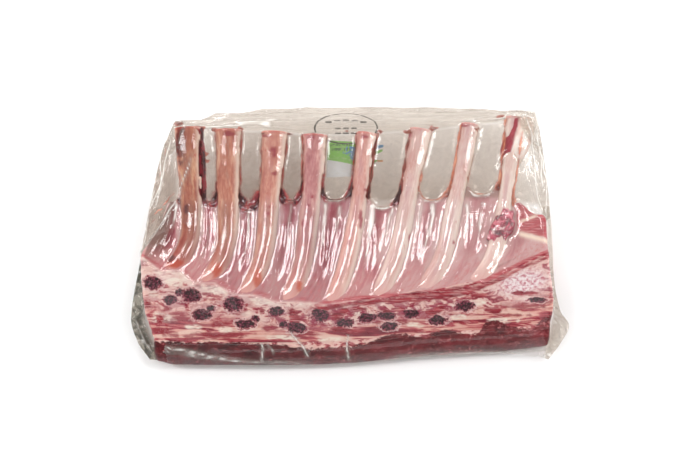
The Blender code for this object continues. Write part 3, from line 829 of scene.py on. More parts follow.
def wrinkle(x, y):
    """Folds of the loose film, in mm, and how creased it is there (0 to 1)."""
    t, c = sample(TT, x, y), sample(CC, x, y)
    flap = smooth(1.98, 2.15, t)
    web_l = smooth(-0.32, -0.6, c) * smooth(-60, -40, y)
    web_r = smooth(7.35, 7.6, c) * smooth(4, 20, y)
    # the flap: long folds that run with its edge
    yy = (t - 2) * 17 + 1.5 * np.sin(x / 41.0)
    folds = ridged(x / 55, yy / 5.5, seed=71, octaves=3)
    dz = flap * (1.5 * (folds - 0.45) + 0.15 * noise(x / 16, yy / 2.6, seed=73))
    crease_and_sheen = flap * smooth(0.62, 0.95, folds)
    # side webs: folds that fan up to the corners
    for side, web, sgn in (("l", web_l, 1), ("r", web_r, -1)):
        u = x + sgn * (-0.22) * y
        f = ridged(u / 4.2, y / 26, seed=75 + (sgn > 0), octaves=3)
        dz = dz + web * (1.3 * (f - 0.45))
        crease_and_sheen = np.maximum(crease_and_sheen, web * smooth(0.66, 0.95, f))
    # windows: faint dimples and a few fine lines
    win = smooth(1.02, 1.15, t) * (1 - smooth(1.9, 2.0, t))
    w = fbm(x / 6, y / 9, seed=81, octaves=3)
    line = ridged(x / 8 + 0.4 * noise(x / 5, y / 5, seed=5), y / 14, seed=83, octaves=2)
    dz = dz + win * (0.16 * w + 0.18 * smooth(0.8, 0.98, line))
    crease_and_sheen = np.maximum(crease_and_sheen, 0.35 * win * smooth(0.86, 0.99, line))
    return dz, crease_and_sheen


LINES = (   # long pinched folds: start (x, y), end, width, height
    ((-119.0, -40.0), (-86.0, 46.0), 0.5, 0.9), ((-114.0, 4.0), (-99.0, 58.0), 0.45, 0.8), ((-108.0, 14.0), (-104.0, 52.0), 0.4, 0.6),
    ((-117.0, -18.0), (-108.0, 30.0), 0.4, 0.6), ((106.0, 62.0), (110.5, 6.0), 0.5, 0.8), ((104.0, 60.0), (109.0, 24.0), 0.45, 0.7),
    ((98.0, 66.0), (108.5, 8.0), 0.4, 0.5),
)


def pinched(x, y):
    dz, crease_and_sheen = 0.0, 0.0
    for i, ((x0, y0), (x1, y1), w, h) in enumerate(LINES):
        dx, dy = x1 - x0, y1 - y0
        n2 = dx * dx + dy * dy
        s = ((x - x0) * dx + (y - y0) * dy) / n2
        d = ((x - x0) * dy - (y - y0) * dx) / math.sqrt(n2) + 1.1 * np.sin(s * 7 + i) + 0.5 * noise(s * 9, i * 3.3, seed=90)
        fade = smooth(-0.02, 0.12, s) * (1 - smooth(0.85, 1.02, s))
        g = np.exp(-np.abs(d) / w) * fade
        dz = dz + h * g
        crease_and_sheen = np.maximum(crease_and_sheen, g)
    return dz, crease_and_sheen


def build_film_top():
    n_flap, n_bone, n_in, n_face, n_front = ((24, 50, 66, 36, 22))
    t_rows = np.concatenate([np.linspace(3, 2.06, n_flap, endpoint=False), np.linspace(2.06, 1.96, 6, endpoint=False),
                             np.linspace(1.96, 1.16, n_bone - 16, endpoint=False), np.linspace(1.16, 0.94, 16, endpoint=False), np.linspace(0.94, 0.0, n_in, endpoint=False)])
    s_rows = np.linspace(0, 1, n_face, endpoint=False)
    v_rows = np.linspace(0, 0.86, n_front)
    pts, kind, along = [], [], []
    for col in FILM_COLS:
        x, y = plan(col, t_rows)
        z = sample(FILM_T, x, y)
        formula = through(VALLEY, np.clip(t_rows, 0, 1)) + (through(RIB_CROWN, np.clip(t_rows, 0, 2)) - through(VALLEY, np.clip(t_rows, 0, 1))) * (np.sqrt(max(0, 1 - abs(col[2]) ** 2.3)) if col[0] == "rib" else 0) * smooth(0, 0.1, t_rows)
        e = through(EDGE_Z, y)
        formula = e + (formula + 0.3 - e) * film_loaf(x, y, 3.6)
        w = smooth(0.0, 0.16, t_rows)
        z = formula + 0.25 + (z - formula - 0.25) * w
        top = np.stack([x, y, z], 1)
        fx, fy, fz = face_plan(col, s_rows)
        e = through(EDGE_Z, fy)
        fz = e + (fz + 0.3 - e) * film_loaf(fx, fy, 3.6)
        face = np.stack([fx, fy - 0.5, fz + 0.35], 1)
        bx, by, _ = face_plan(col, 1.0)
        dy, zz = front_curve(v_rows)
        if col[0] in ("left", "right"):
            share = col[2] if col[0] == "left" else 1 - col[2]
            start = _x0[0] if col[0] == "left" else _x0[1]
            inner = float(spread(start))
            ey = CORNER_Y + (CORNER_END_Y - CORNER_Y) * v_rows / v_rows[-1]
            ex = through(LEFT_EDGE if col[0] == "left" else RIGHT_EDGE, ey)
            xx = ex + (inner - ex) * share
            iy = foot_y(inner) + dy
            yy = ey + (iy - ey) * share
        else:
            xx = np.full(n_front, float(bx))
            yy = float(by) + dy
        ins = float(film_loaf(bx, by, 9.0))
        e = through(EDGE_Z, yy)
        zz = e + (zz + 0.1 - e) * ins
        front = np.stack([xx, yy - 0.45, np.maximum(zz, 1.0)], 1)
        pts.append(np.concatenate([top, face, front]))
        kind.append(np.concatenate([np.zeros(len(t_rows)), np.ones(n_face), np.full(n_front, 2.0)]))
        along.append(np.concatenate([t_rows, s_rows, v_rows]))
    P = np.array(pts).transpose(1, 0, 2)
    return P, np.array(kind).T, np.array(along).T


FT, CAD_, FA = build_film_top()
fx_, fy_, fz_ = FT[..., 0], FT[..., 1], FT[..., 2]
n_ = grid_normals(FT)
n_ *= np.sign(n_[..., 2].mean())
is_top, is_face, is_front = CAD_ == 0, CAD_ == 1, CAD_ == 2
dz, crease_and_sheen = wrinkle(fx_, fy_)
pz, pc = pinched(fx_, fy_)
dz, crease_and_sheen = np.where(is_top, dz, 0.0), np.where(is_top, crease_and_sheen, 0.0)
dz = dz + pz * np.where(is_top, 1.0, 0.5)
crease_and_sheen = np.maximum(crease_and_sheen, pc * np.where(is_top, 1.0, 0.5))
fa_, fb_ = chart(fx_, fy_, fz_)
# film drawn tight over the meat: shallow ripples that catch the light
cgrid, tgrid = sample(CC, fx_, fy_), sample(TT, fx_, fy_)
inner_f = is_top & (tgrid < 1.0)
ripple = 0.16 * fbm(fx_ / 3.4, fy_ / 11, seed=101, octaves=3) + 0.22 * (ridged(fx_ / 7 + 0.3 * fy_ / 30, fy_ / 24, seed=103, octaves=2) - 0.5)
dz = dz + np.where(inner_f, ripple * 0.9, 0)
GAP_FOLDS = (
    (-1, 0.62, 0.50, 0.25, 1.0, 0.9, 1.0), (-1, 0.85, 0.80, 0.10, 0.9, 0.8, 0.8), (-1, 0.40, 0.45, 0.35, 0.95, 0.6, 0.7), (-1, 0.62, 0.50, -0.05, 0.55, 1.3, 1.5), (-1, 0.25, 0.20, -0.05, 0.5, 1.2, 1.3),
    (0, 0.30, 0.55, 0.20, 1.0, 0.7, 0.7), (0, 0.72, 0.80, 0.25, 0.92, 0.9, 0.8), (1, 0.62, 0.70, 0.15, 0.95, 0.9, 0.8), (1, 0.25, 0.35, 0.30, 1.0, 0.6, 0.6),
    (2, 0.70, 0.78, 0.12, 0.98, 0.8, 0.8), (2, 0.35, 0.30, 0.45, 1.0, 0.5, 0.6), (3, 0.22, 0.52, 0.30, 1.02, 0.9, 0.7), (3, 0.66, 0.74, 0.15, 0.9, 0.8, 0.8),
    (4, 0.20, 0.60, 0.25, 1.0, 0.9, 0.7), (4, 0.75, 0.80, 0.40, 1.02, 0.8, 0.8), (5, 0.18, 0.42, 0.30, 1.02, 0.9, 0.7), (5, 0.60, 0.66, 0.45, 1.02, 0.8, 0.8),
    (6, 0.20, 0.52, 0.40, 1.02, 0.9, 0.7), (6, 0.55, 0.72, 0.35, 1.0, 1.0, 0.9), (6, 0.8, 0.82, 0.5, 1.0, 0.6, 0.6))
for g_, u1, u0, t0, t1, hgt, wid in GAP_FOLDS:
    if g_ >= 0:
        lx = rib_x(g_, fy_) + rib_half(g_, np.clip(rib_t(g_, fy_), 0, 2))
        rx = rib_x(g_ + 1, fy_) - rib_half(g_ + 1, np.clip(rib_t(g_ + 1, fy_), 0, 2))
    else:
        rx = rib_x(0, fy_) - rib_half(0, np.clip(rib_t(0, fy_), 0, 2))
        lx = np.maximum(through(LEFT_WALL, fy_), rx - 15.0)
    uu = u0 + (u1 - u0) * smooth(0.1, 1.0, tgrid)
    off = fx_ - (lx + (rx - lx) * uu) + 0.5 * noise(tgrid * 7, g_ * 2.0 + u1 * 9, seed=191)
    run = smooth(t0, t0 + 0.15, tgrid) * (1 - smooth(t1 - 0.12, t1, tgrid)) * inner_f
    dz = dz + hgt * 0.95 * np.exp(-np.abs(off / (2.1 * wid)) ** 1.7) * run
# painted highlights: broad milky bands, with no fold in the film's shape, that hang from the lower edge of the windows:
# (gap, share across at the top, at the bottom, t from, t to, half width, strength)
PAINTED_SHEEN_ARCS = ((-1, 0.80, 0.60, 0.45, 1.00, 1.1, 0.5), (0, 0.55, 0.45, 0.20, 0.70, 0.9, 0.45), (1, 0.50, 0.62, 0.20, 0.92, 0.9, 0.55), (2, 0.60, 0.50, 0.45, 0.98, 0.8, 0.45),
        (3, 0.18, 0.40, 0.45, 0.99, 1.1, 0.75), (3, 0.72, 0.62, 0.55, 0.97, 0.9, 0.55), (4, 0.20, 0.42, 0.25, 0.99, 1.3, 0.85), (4, 0.84, 0.60, 0.55, 0.99, 0.9, 0.8),
        (5, 0.60, 0.50, 0.35, 0.99, 1.2, 0.8), (5, 0.16, 0.20, 0.60, 0.99, 0.8, 0.5), (6, 0.14, 0.28, 0.50, 0.99, 1.1, 0.75), (6, 0.62, 0.70, 0.45, 0.99, 1.0, 0.7))
for g_, u1, u0, t0, t1, wid, power in PAINTED_SHEEN_ARCS:
    if g_ >= 0:
        lx = rib_x(g_, fy_) + rib_half(g_, np.clip(rib_t(g_, fy_), 0, 2))
        rx = rib_x(g_ + 1, fy_) - rib_half(g_ + 1, np.clip(rib_t(g_ + 1, fy_), 0, 2))
    else:
        rx = rib_x(0, fy_) - rib_half(0, np.clip(rib_t(0, fy_), 0, 2))
        lx = np.maximum(through(LEFT_WALL, fy_), rx - 15.0)
    uu = u0 + (u1 - u0) * smooth(0.1, 1.0, tgrid)
    off = fx_ - (lx + (rx - lx) * uu) + 0.9 * noise(tgrid * 5, g_ * 3.0 + u1 * 7, seed=211)
    half = wid * (0.55 + 0.6 * smooth(0.3, 1.0, tgrid)) * (0.8 + 0.5 * noise(tgrid * 9, g_ + u1 * 3, seed=212))
    run = smooth(t0, t0 + 0.25, tgrid) * (1 - smooth(t1 - 0.05, t1, tgrid)) * inner_f
    crease_and_sheen = np.maximum(crease_and_sheen, power * np.exp(-np.abs(off / np.maximum(half, 0.4)) ** 2.4) * run * (1.25 + 0.5 * noise(fx_ / 1.6, fy_ / 5.0, seed=213)))
# the film is pinched along the lower edge of each window; the milky line along the pinch is partly painted highlight
up_f = fy_ - meat_edge_y(cgrid, fx_)
gf_ = cgrid - np.floor(cgrid)
in_gap = smooth(0.22, 0.30, gf_) * (1 - smooth(0.70, 0.78, gf_)) * is_top * (cgrid > -1) * (cgrid < 7.8)
rim_power = np.array((0.35, 0.35, 0.3, 0.4, 0.7, 1.0, 0.8, 1.0, 0.2))[np.clip(np.floor(cgrid), -1, 7).astype(int) + 1]
rim_f = np.exp(-((up_f + 1.9 + 0.6 * noise(fx_ / 3.0, 4.0, seed=195)) / 1.0) ** 2) * in_gap * rim_power
dz = dz + 0.6 * rim_f
crease_and_sheen = np.maximum(crease_and_sheen, 0.95 * rim_f * (0.6 + 0.4 * noise(fx_ / 2.2, fy_ / 2.2, seed=196)))
face_rip = 0.2 * fbm(fa_ / 8, fb_ / 3.5, seed=105, octaves=3) + 0.12 * (ridged(fa_ / 14, fb_ / 6, seed=107) - 0.5)
dz = dz + np.where(is_face | is_front, face_rip, 0)
# folds across the front, low on the pack: (a0, b0, a1, b1, height)
FRONT_LINES = ((-112.0, -54.5, -52.0, -64.0, 0.9), (-96.0, -60.0, -20.0, -65.5, 0.6), (-33.0, -46.0, -22.0, -62.0, 0.7), (-48.5, -53.0, -48.0, -64.0, 0.7),
               (-1.5, -48.0, -1.0, -64.0, 0.8), (-106.0, -57.0, -70.0, -61.5, 0.6), (20.0, -61.0, 112.0, -57.0, 0.5), (-119.0, -40.0, -108.0, -60.0, 0.9), (-45.0, -53.0, -42.0, -60.0, 0.4))
for i, (a0, b0, a1, b1, h) in enumerate(FRONT_LINES):
    da, db = a1 - a0, b1 - b0
    n2 = da * da + db * db
    s = ((fa_ - a0) * da + (fb_ - b0) * db) / n2
    d = ((fa_ - a0) * db - (fb_ - b0) * da) / math.sqrt(n2) + 0.5 * np.sin(s * 6 + i * 2) + 0.3 * noise(s * 12, i * 2.2, seed=110)
    g = np.exp(-np.abs(d) / 0.6) * smooth(-0.02, 0.1, s) * (1 - smooth(0.85, 1.02, s)) * (is_face | is_front)
    dz = dz + h * g
    crease_and_sheen = np.maximum(crease_and_sheen, (1.0 if i in (0, 2, 3, 4) else 0.7) * g)
# the spare film at the lower left and the point at the lower right are crumpled
spare_l = smooth(-0.55, -0.8, cgrid) * (1 - smooth(-20, -8, fy_))
spare_l = np.where(is_top, spare_l * smooth(1.5, -1.5, wall_gap(fx_, fy_)), smooth(9.5, 4.0, fx_ - through(LEFT_EDGE, fy_)) * smooth(2.0, -0.5, wall_gap(fx_, fy_)))
spare_r = np.where(is_top, 0.0, smooth(6.0, 1.0, through(RIGHT_EDGE, fy_) - fx_))
crump = ridged(fx_ / 5 + 0.6 * noise(fx_ / 4, fy_ / 4, seed=7), fy_ / 5, fz_ / 9, seed=121, octaves=3)
for m in (spare_l, spare_r):
    dz = dz + m * 1.8 * (crump - 0.45)
    crease_and_sheen = np.maximum(crease_and_sheen, m * smooth(0.55, 0.9, crump))
FT = FT + n_ * dz[..., None]
FT[..., 2] = np.maximum(FT[..., 2], 0.9)
# blood drawn out of the cut, with painted shade: dark red along the bones and in the lower corners of the windows,
# darkest where shade falls in these crevices
CORNERS = ((0.0, 0.55), (0.75, 1.0), (1.0, 1.0), (0.9, 0.9), (0.7, 0.8), (0.35, 1.0), (0.2, 0.8), (0.1, 0.75), (0.6, 0.0))
SIDES = ((0.0, 0.35), (1.0, 0.45), (0.55, 0.5), (0.6, 0.7), (0.45, 0.6), (0.85, 0.8), (0.45, 0.75), (0.3, 0.7), (0.6, 0.0))
RIMS = (0.5, 0.55, 0.6, 0.6, 0.55, 0.25, 0.4, 0.25, 0.0)
RUST = (0.5, 0.0, 0.1, 0.15, 0.1, 0.2, 0.9, 0.8, 1.0)
SPLASH = ((179, 123.5, 1.5), (198, 127, 1.0), (202.5, 128, 1.2), (214, 130, 1.4), (241, 129, 1.1), (289, 134, 1.2), (263, 133, 0.9), (380, 131.5, 1.3),
          (407, 132, 1.6), (432.5, 128.5, 1.6), (477, 129, 1.0), (500, 116.5, 1.2), (347, 131, 0.8), (313, 134, 0.7), (204.5, 154, 1.6), (205.5, 161, 1.5))


def blood_and_shade_field(x, y, t, c):
    g = np.clip(np.floor(c), -1, 7).astype(int)
    edge = meat_edge_y(c, x)
    amount, rust = np.zeros_like(x), np.zeros_like(x)
    for w in range(-1, 8):
        here = (g == w) & (t > 0.8) & (t < 2.05)
        left = rib_x(w, y) + rib_half(w, np.clip(rib_t(w, y), 0, 2)) if w >= 0 else x - 9
        right = rib_x(w + 1, y) - rib_half(w + 1, np.clip(rib_t(w + 1, y), 0, 2)) if w < 7 else x + 9
        dl, dr = x - left, right - x
        up = y - edge
        n = 0.5 + 0.5 * fbm(x / 2.4, y / 4.5, 5.0 * w, seed=160)
        big = (1.0, 1.3, 1.75, 1.6, 1.35, 1.35, 1.0, 0.9, 1.0)[w + 1]
        cl = CORNERS[w + 1][0] * np.exp(-((np.clip(dl, 0, 9) / (1.7 + 1.8 * n) / big) ** 2) - (np.clip(-dl, 0, 9) / 0.6) ** 2 - ((up + 1.0) / (3.6 + 1.9 * n) / big) ** 2)
        cr = CORNERS[w + 1][1] * np.exp(-((np.clip(dr, 0, 9) / (1.9 + 1.9 * n) / big) ** 2) - (np.clip(-dr, 0, 9) / 0.6) ** 2 - ((up + 1.2) / (3.9 + 2.0 * n) / big) ** 2)
        rim_ = RIMS[w + 1] * np.exp(-((up - 0.2) / (0.75 + 0.5 * n)) ** 2) * 1.2 * smooth(-0.7, 0.2, dl) * smooth(-0.7, 0.2, dr) * (smooth(-101.5, -98.5, x) if w < 0 else 1.0)
        fall = 0.55 + 0.45 * np.exp(-np.clip(up, 0, 60) / 12)
        low = smooth(-1.5, 1.0, up)
        sl = SIDES[w + 1][0] * np.exp(-(dl / (0.75 + 0.7 * n)) ** 2) * fall * (0.5 + n) * low
        sr = SIDES[w + 1][1] * np.exp(-(dr / (0.75 + 0.7 * n)) ** 2) * fall * (0.5 + n) * low
        if w == 0:
            sl = sl + 0.9 * np.exp(-((dl - 0.4) / (1.0 + 0.9 * noise(y / 6.0, 0.0, seed=163))) ** 2) * low
        total = np.maximum.reduce([cl, cr, rim_ * smooth(-2.0, -0.8, up), sl, sr]) * smooth(-6.5, -2.0, up)
        amount = np.where(here, total, amount)
        rust = np.where(here, np.clip(RUST[w + 1] - 0.9 * np.maximum(cl, cr), 0, 1), rust)
    return amount, rust


tgt, cgd = sample(TT, fx_, fy_), sample(CC, fx_, fy_)
purge_and_shade, rust = blood_and_shade_field(fx_, fy_, tgt, cgd)
for px_, py_, r_ in SPLASH:
    a0, b0 = (px_ - 350) * 0.55, (245.9 - py_) * 0.55
    d2 = (((fa_ - a0) / 1.7) ** 2 + ((fb_ - b0) / 0.8) ** 2) / (r_ * r_) * (1 + 0.8 * noise(fa_ / 1.3, fb_ / 1.3, seed=170))
    hit = 0.62 * np.exp(-np.clip(d2, 0, 50)) * is_top
    rust = np.where(hit > purge_and_shade, 0.3, rust)
    purge_and_shade = np.maximum(purge_and_shade, hit)
# thin stained folds in the loose film at the left
STAINED = ((148, 227, 185, 177), (143, 258, 178, 205), (157, 190, 171, 130), (152, 214, 172, 204), (560, 120, 571, 190), (566, 190, 576, 250))
for i, (x0_, y0_, x1_, y1_) in enumerate(STAINED):
    a0, b0, a1, b1 = (x0_ - 350) * 0.55, (245.9 - y0_) * 0.55, (x1_ - 350) * 0.55, (245.9 - y1_) * 0.55
    da, db = a1 - a0, b1 - b0
    s = ((fa_ - a0) * da + (fb_ - b0) * db) / (da * da + db * db)
    d = ((fa_ - a0) * db - (fb_ - b0) * da) / math.hypot(da, db) + 0.9 * noise(s * 4, i * 3.1, seed=220) + 0.4 * noise(s * 15, i * 1.7, seed=221)
    hit = 0.42 * np.exp(-(d / 0.42) ** 2) * smooth(-0.02, 0.1, s) * (1 - smooth(0.88, 1.0, s)) * (0.5 + noise(s * 8, i, seed=222)) * is_top * (((cgrid < -0.3) | (cgrid > 7.3)))
    rust = np.where(hit > purge_and_shade, 0.75, rust)
    purge_and_shade = np.maximum(purge_and_shade, hit)
purge_and_shade = np.where(is_top, purge_and_shade, 0.0)
slack_film = np.where(is_top, smooth(1.99, 2.08, tgrid), 0)
web = np.where(is_top & ((cgrid < -0.3) | (cgrid > 7.3)), smooth(0.5, 1.5, -(wall_gap(fx_, fy_))), 0)
web = np.where(~is_top, smooth(0.3, 1.5, -(wall_gap(fx_, fy_))), web)
window = np.where(is_top, smooth(1.0, 1.06, tgrid) * (1 - smooth(1.98, 2.04, tgrid)), 0)
no_bone = 1 - smooth(-3.5, -0.6, sample(np.maximum(BONE_TOP, MEM - 20), fx_, fy_) - fz_)
window = window * no_bone
# painted shade: the film is tinted darker where the pack's shade lies behind it, in the left web and gap by gap in the
# windows
film_painted_shade = smooth(-0.25, -0.5, cgrid) * is_top * smooth(-30, -10, fy_) * (1 - 0.6 * smooth(30, 58, fy_)) * (1.0 + 0.25 * fbm(fx_ / 3, fy_ / 22, seed=180))
shade_of = np.interp(cgrid, (-0.4, 0.5, 1.5, 2.5, 3.5, 4.5, 5.5, 6.5, 7.5), (0.0, 0.60, 0.74, 0.80, 0.22, 0.42, 0.28, 0.38, 0.08))
film_painted_shade = np.maximum(film_painted_shade, window * shade_of * (1.0 - 0.35 * smooth(1.5, 2.0, tgrid)) * (0.9 + 0.25 * fbm(fx_ / 5, fy_ / 9, seed=181)))
frontal = np.where(is_face, 1.0, np.where(is_front, 1.0 - 0.6 * FA, smooth(0.12, 0.0, tgrid)))
speck = np.exp(-(((fa_ - 97.0) / 10.0) ** 2) - (((fb_ + 19.0 - 0.15 * (fa_ - 95)) / 6.0) ** 2))
film_top = grid_mesh("film_top", FT, attrs={"purge_and_shade": purge_and_shade, "rust": rust, "film_painted_shade": film_painted_shade, "crease_and_sheen": np.clip(crease_and_sheen, 0, 1), "slack": np.clip(slack_film, 0, 1), "web": web, "window": window,
                                            "spare": np.clip(spare_l, 0, 1), "frontal": frontal, "speck": speck, "flow": np.stack([fx_, fy_, fz_], -1) * MM}, flip=False)

# ------------------------------------------------------------------ the film, under side


def build_film_under():
    n_flap, n_bone, n_back, n_flat, n_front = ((20, 40, 26, 26, 10))
    cols = FILM_COLS[::2] + ([FILM_COLS[-1]] if (len(FILM_COLS) - 1) % 2 else [])
    pts, kind = [], []
    for col in cols:
        xe, ye = plan(col, 1.0)
        ce = float(sample(CC, xe, ye))
        edge = float(meat_edge_y(np.array(ce), np.array(float(xe))))
        t_edge = 1 + (edge + 0.6 - float(ye)) / 47.0
        t = np.concatenate([np.linspace(3, 2.06, n_flap, endpoint=False), np.linspace(2.06, t_edge, n_bone, endpoint=False)])
        x, y = plan(col, t)
        zt = sample(FILM_T, x, y) * 0
        z = sample(FILM_B, x, y)
        w_, c_ = wrinkle(x, y)
        p_, _ = pinched(x, y)
        z = z + w_ + p_ - 0.3
        ins = quarter(np.clip(wall_gap(xe, ye) + 0.7, 0, 99), 9.0)
        tent = 4.5 * np.exp(-np.clip(y - edge, 0, 50) / 3.2) * ins
        z = z - tent
        a = np.stack([x, y, z], 1)
        w = np.linspace(0, 1, n_back, endpoint=False)
        z0 = float(a[-1, 2])
        bk_y = through(((0, edge + 0.3), (0.25, 17.0), (0.45, 15.4), (0.65, 11.0), (0.85, 4.6), (1.0, -1.0)), w)
        bk_z = through(((0, z0), (0.25, 15.0), (0.45, 10.8), (0.65, 4.8), (0.85, 1.0), (1.0, 0.08)), w)
        xs = np.full(n_back, float(x[-1]))
        v = np.linspace(0, 1, n_flat, endpoint=False)
        fl_y = -1.0 + (-62.0 + 1.0) * v
        fl_z = np.full(n_flat, 0.08)
        bx, by, _ = face_plan(col, 1.0)
        fx = float(x[-1]) + (float(bx) - float(x[-1])) * smooth(0.0, 0.8, v)
        body = np.stack([np.concatenate([xs, fx]), np.concatenate([bk_y, fl_y]), np.concatenate([bk_z, fl_z])], 1)
        # the edges run up to the side seam
        e_y = np.linspace(float(y[-1]), CORNER_END_Y, n_back + n_flat)
        inside = film_loaf(body[:, 0], body[:, 1], 7.0)
        if col[0] in ("left", "right"):
            share = col[2] if col[0] == "left" else 1 - col[2]
            row = np.linspace(0, 1, n_back + n_flat)
            top_y = np.interp(row, [0, 0.55, 1], [float(ye), -25.0, -66.0])
            edge_x = through(LEFT_EDGE if col[0] == "left" else RIGHT_EDGE, top_y)
            inner_x = plan(("rib", col[1], -1.0 if col[0] == "left" else 1.0), 1.0)[0]
            inner_row = np.interp(row, [0, 1], [float(inner_x), -96.0 if col[0] == "left" else 84.0])
            px = edge_x + (inner_row - edge_x) * share
            py = top_y + (body[:, 1] - top_y) * smooth(0.0, 1.0, film_loaf(px, 0.5 * (top_y + body[:, 1]), 9.0))
            ins = film_loaf(px, py, 7.0)
            e = through(EDGE_Z, py) - 0.3
            body = np.stack([px, py, e + (body[:, 2] - e) * ins], 1)
        pts.append(np.concatenate([a, body]))
        kind.append(len(a))
    P = np.array(pts).transpose(1, 0, 2)
    return P, cols


FU, U_COLS = build_film_under()
# close the bag: the under film's rim follows the upper film's rim exactly
rim_top = FT[-1][::2] if len(FT[-1][::2]) == FU.shape[1] else np.concatenate([FT[-1][::2], FT[-1][-1:]])
FU = np.concatenate([FU, (0.5 * (FU[-1] + rim_top))[None], rim_top[None]])
flap_top = FT[0][::2] if len(FT[0][::2]) == FU.shape[1] else np.concatenate([FT[0][::2], FT[0][-1:]])
FU[0] = flap_top - np.array([0, 0, 0.05])
FU[..., 2] = np.maximum(FU[..., 2], 0.05)
ux, uy, uz = FU[..., 0], FU[..., 1], FU[..., 2]
ut, uc = sample(TT, ux, uy), sample(CC, ux, uy)
rows_u = np.arange(FU.shape[0])[:, None] * np.ones((1, FU.shape[1]))
beyond = smooth(0.99, 1.03, ut)
film_under = grid_mesh("film_under", FU, attrs={
    "purge_and_shade": 0 * ux, "rust": 0 * ux, "film_painted_shade": 0 * ux,
    "crease_and_sheen": np.clip(wrinkle(ux, uy)[1], 0, 1) * smooth(1.9, 2.05, ut), "slack": smooth(1.99, 2.08, ut), "web": smooth(0.3, 1.5, -wall_gap(ux, uy)) * (uy < 17),
    "window": beyond * (1 - smooth(1.98, 2.04, ut)), "spare": smooth(9.5, 4.0, ux - through(LEFT_EDGE, uy)) * smooth(-6.0, -14.0, uy) * 0.8, "frontal": 0 * ux, "speck": 0 * ux, "flow": np.stack([ux, uy, uz], -1) * MM}, flip=True)
PIECES += [(film_top, "film"), (film_under, "film")]


# ------------------------------------------------------------------ what the last rib carries
def build_rind():
    """The strip of flank left on the outer half of the last rib: a lens of muscle beside fat."""
    n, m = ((90, 34))
    t = np.linspace(1.36, 1.985, n)
    y = FRENCH_Y + (TIP_Y[7] - FRENCH_Y) * (t - 1)
    grow = smooth(1.35, 1.62, t) * (1 - smooth(1.95, 2.02, t) * 0.5)
    half = 8.1 * (0.52 + 0.48 * smooth(1.36, 1.66, t))
    shift = 0.6 + 3.2 * smooth(1.45, 1.9, t)
    d = np.linspace(-1, 1, m)
    base = crown(7, np.clip(t, 0, 2)) - PROUD
    x = rib_x(7, y)[:, None] + shift[:, None] + half[:, None] * d[None]
    yy = y[:, None] * np.ones((1, m))
    dome = np.sqrt(np.clip(1 - np.abs(d) ** 2.6, 0, 1))[None]
    z = base[:, None] + (PROUD + 0.75 + 0.25 * fbm(x / 4, yy / 7, seed=150)) * dome * grow[:, None] - 0.3 * (1 - grow[:, None])
    top = np.stack([x, yy, z], -1)
    low = np.stack([x[:, ::-1], yy, np.minimum(z[:, ::-1] - 0.1, base[:, None] - 1.2 * dome[:, ::-1])], -1)
    full = np.concatenate([top, low], 1)
    ends = [full[0] + (full[0].mean(0) - full[0]) * s for s in (0.98, 0.5)]
    ends2 = [full[-1] + (full[-1].mean(0) - full[-1]) * s for s in (0.2, 0.6, 0.98)]
    full = np.concatenate([np.array(ends), full, np.array(ends2)])
    dd = np.concatenate([d, d[::-1]])[None] * np.ones((len(full), 1))
    tt = np.concatenate([[t[0]] * 2, t, [t[-1]] * 3])[:, None] * np.ones((1, full.shape[1]))
    mid = -0.56 - 0.12 * np.sin((tt - 1.55) * 5.5)
    wide = 0.44 * np.sqrt(np.clip(1 - ((tt - 1.80) / 0.36) ** 2, 0, 1)) + 0.03
    lens = smooth(-0.25, 0.25, 1 - np.abs(dd - mid) / wide + 0.25 * fbm(full[..., 0] / 2.5, full[..., 1] / 5, seed=151))
    return grid_mesh("rib_8_rind", full, closed_u=True, flip=False, attrs={
        "lens": lens * (tt > 1.44), "tt": tt, "cross": dd, "flow": np.stack([dd * 7.0, tt * 47.0, full[..., 2]], -1) * MM})


def build_pocket():
    n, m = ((70, 60))
    r = np.linspace(0.02, 0.99, n)
    ang = np.linspace(0, 2 * np.pi, m, endpoint=False)
    size = ragged_edge(ang)[None]
    across, along = 6.0 * size * r[:, None] * np.cos(ang)[None], 13.2 * size * r[:, None] * np.sin(ang)[None]
    x = 83.3 + across * 0.958 + along * 0.287
    y = -0.5 + along * 0.958 - across * 0.287
    z = pocket_top(x, y) - 0.15
    top = np.stack([x, y, z], -1)
    low = np.stack([x[-1], y[-1], z[-1] - 2.5], -1)[None]
    shut = np.stack([83.3 + (x[-1] - 83.3) * 0.02, -0.5 + (y[-1] + 0.5) * 0.02, z[-1] * 0 + 26.0], -1)[None]
    full = np.concatenate([top, low, shut])
    wet = ridged(full[..., 0] / 2.6, full[..., 1] / 3.4, seed=153)
    pale = smooth(0.5, 0.85, wet)
    return grid_mesh("torn_pocket", full, closed_u=True, flip=False, attrs={
        "pale": pale, "flow": full * MM, "rad": np.concatenate([r, [1, 1]])[:, None] * np.ones((1, m))})


rind = build_rind()
torn = build_pocket()
PIECES += [(rind, "fat"), (torn, "meat")]


# ------------------------------------------------------------------ print: plain shapes on the under film
def on_under(x, y):
    return sample(FILM_B, x, y) + wrinkle(x, y)[0] + 0.0


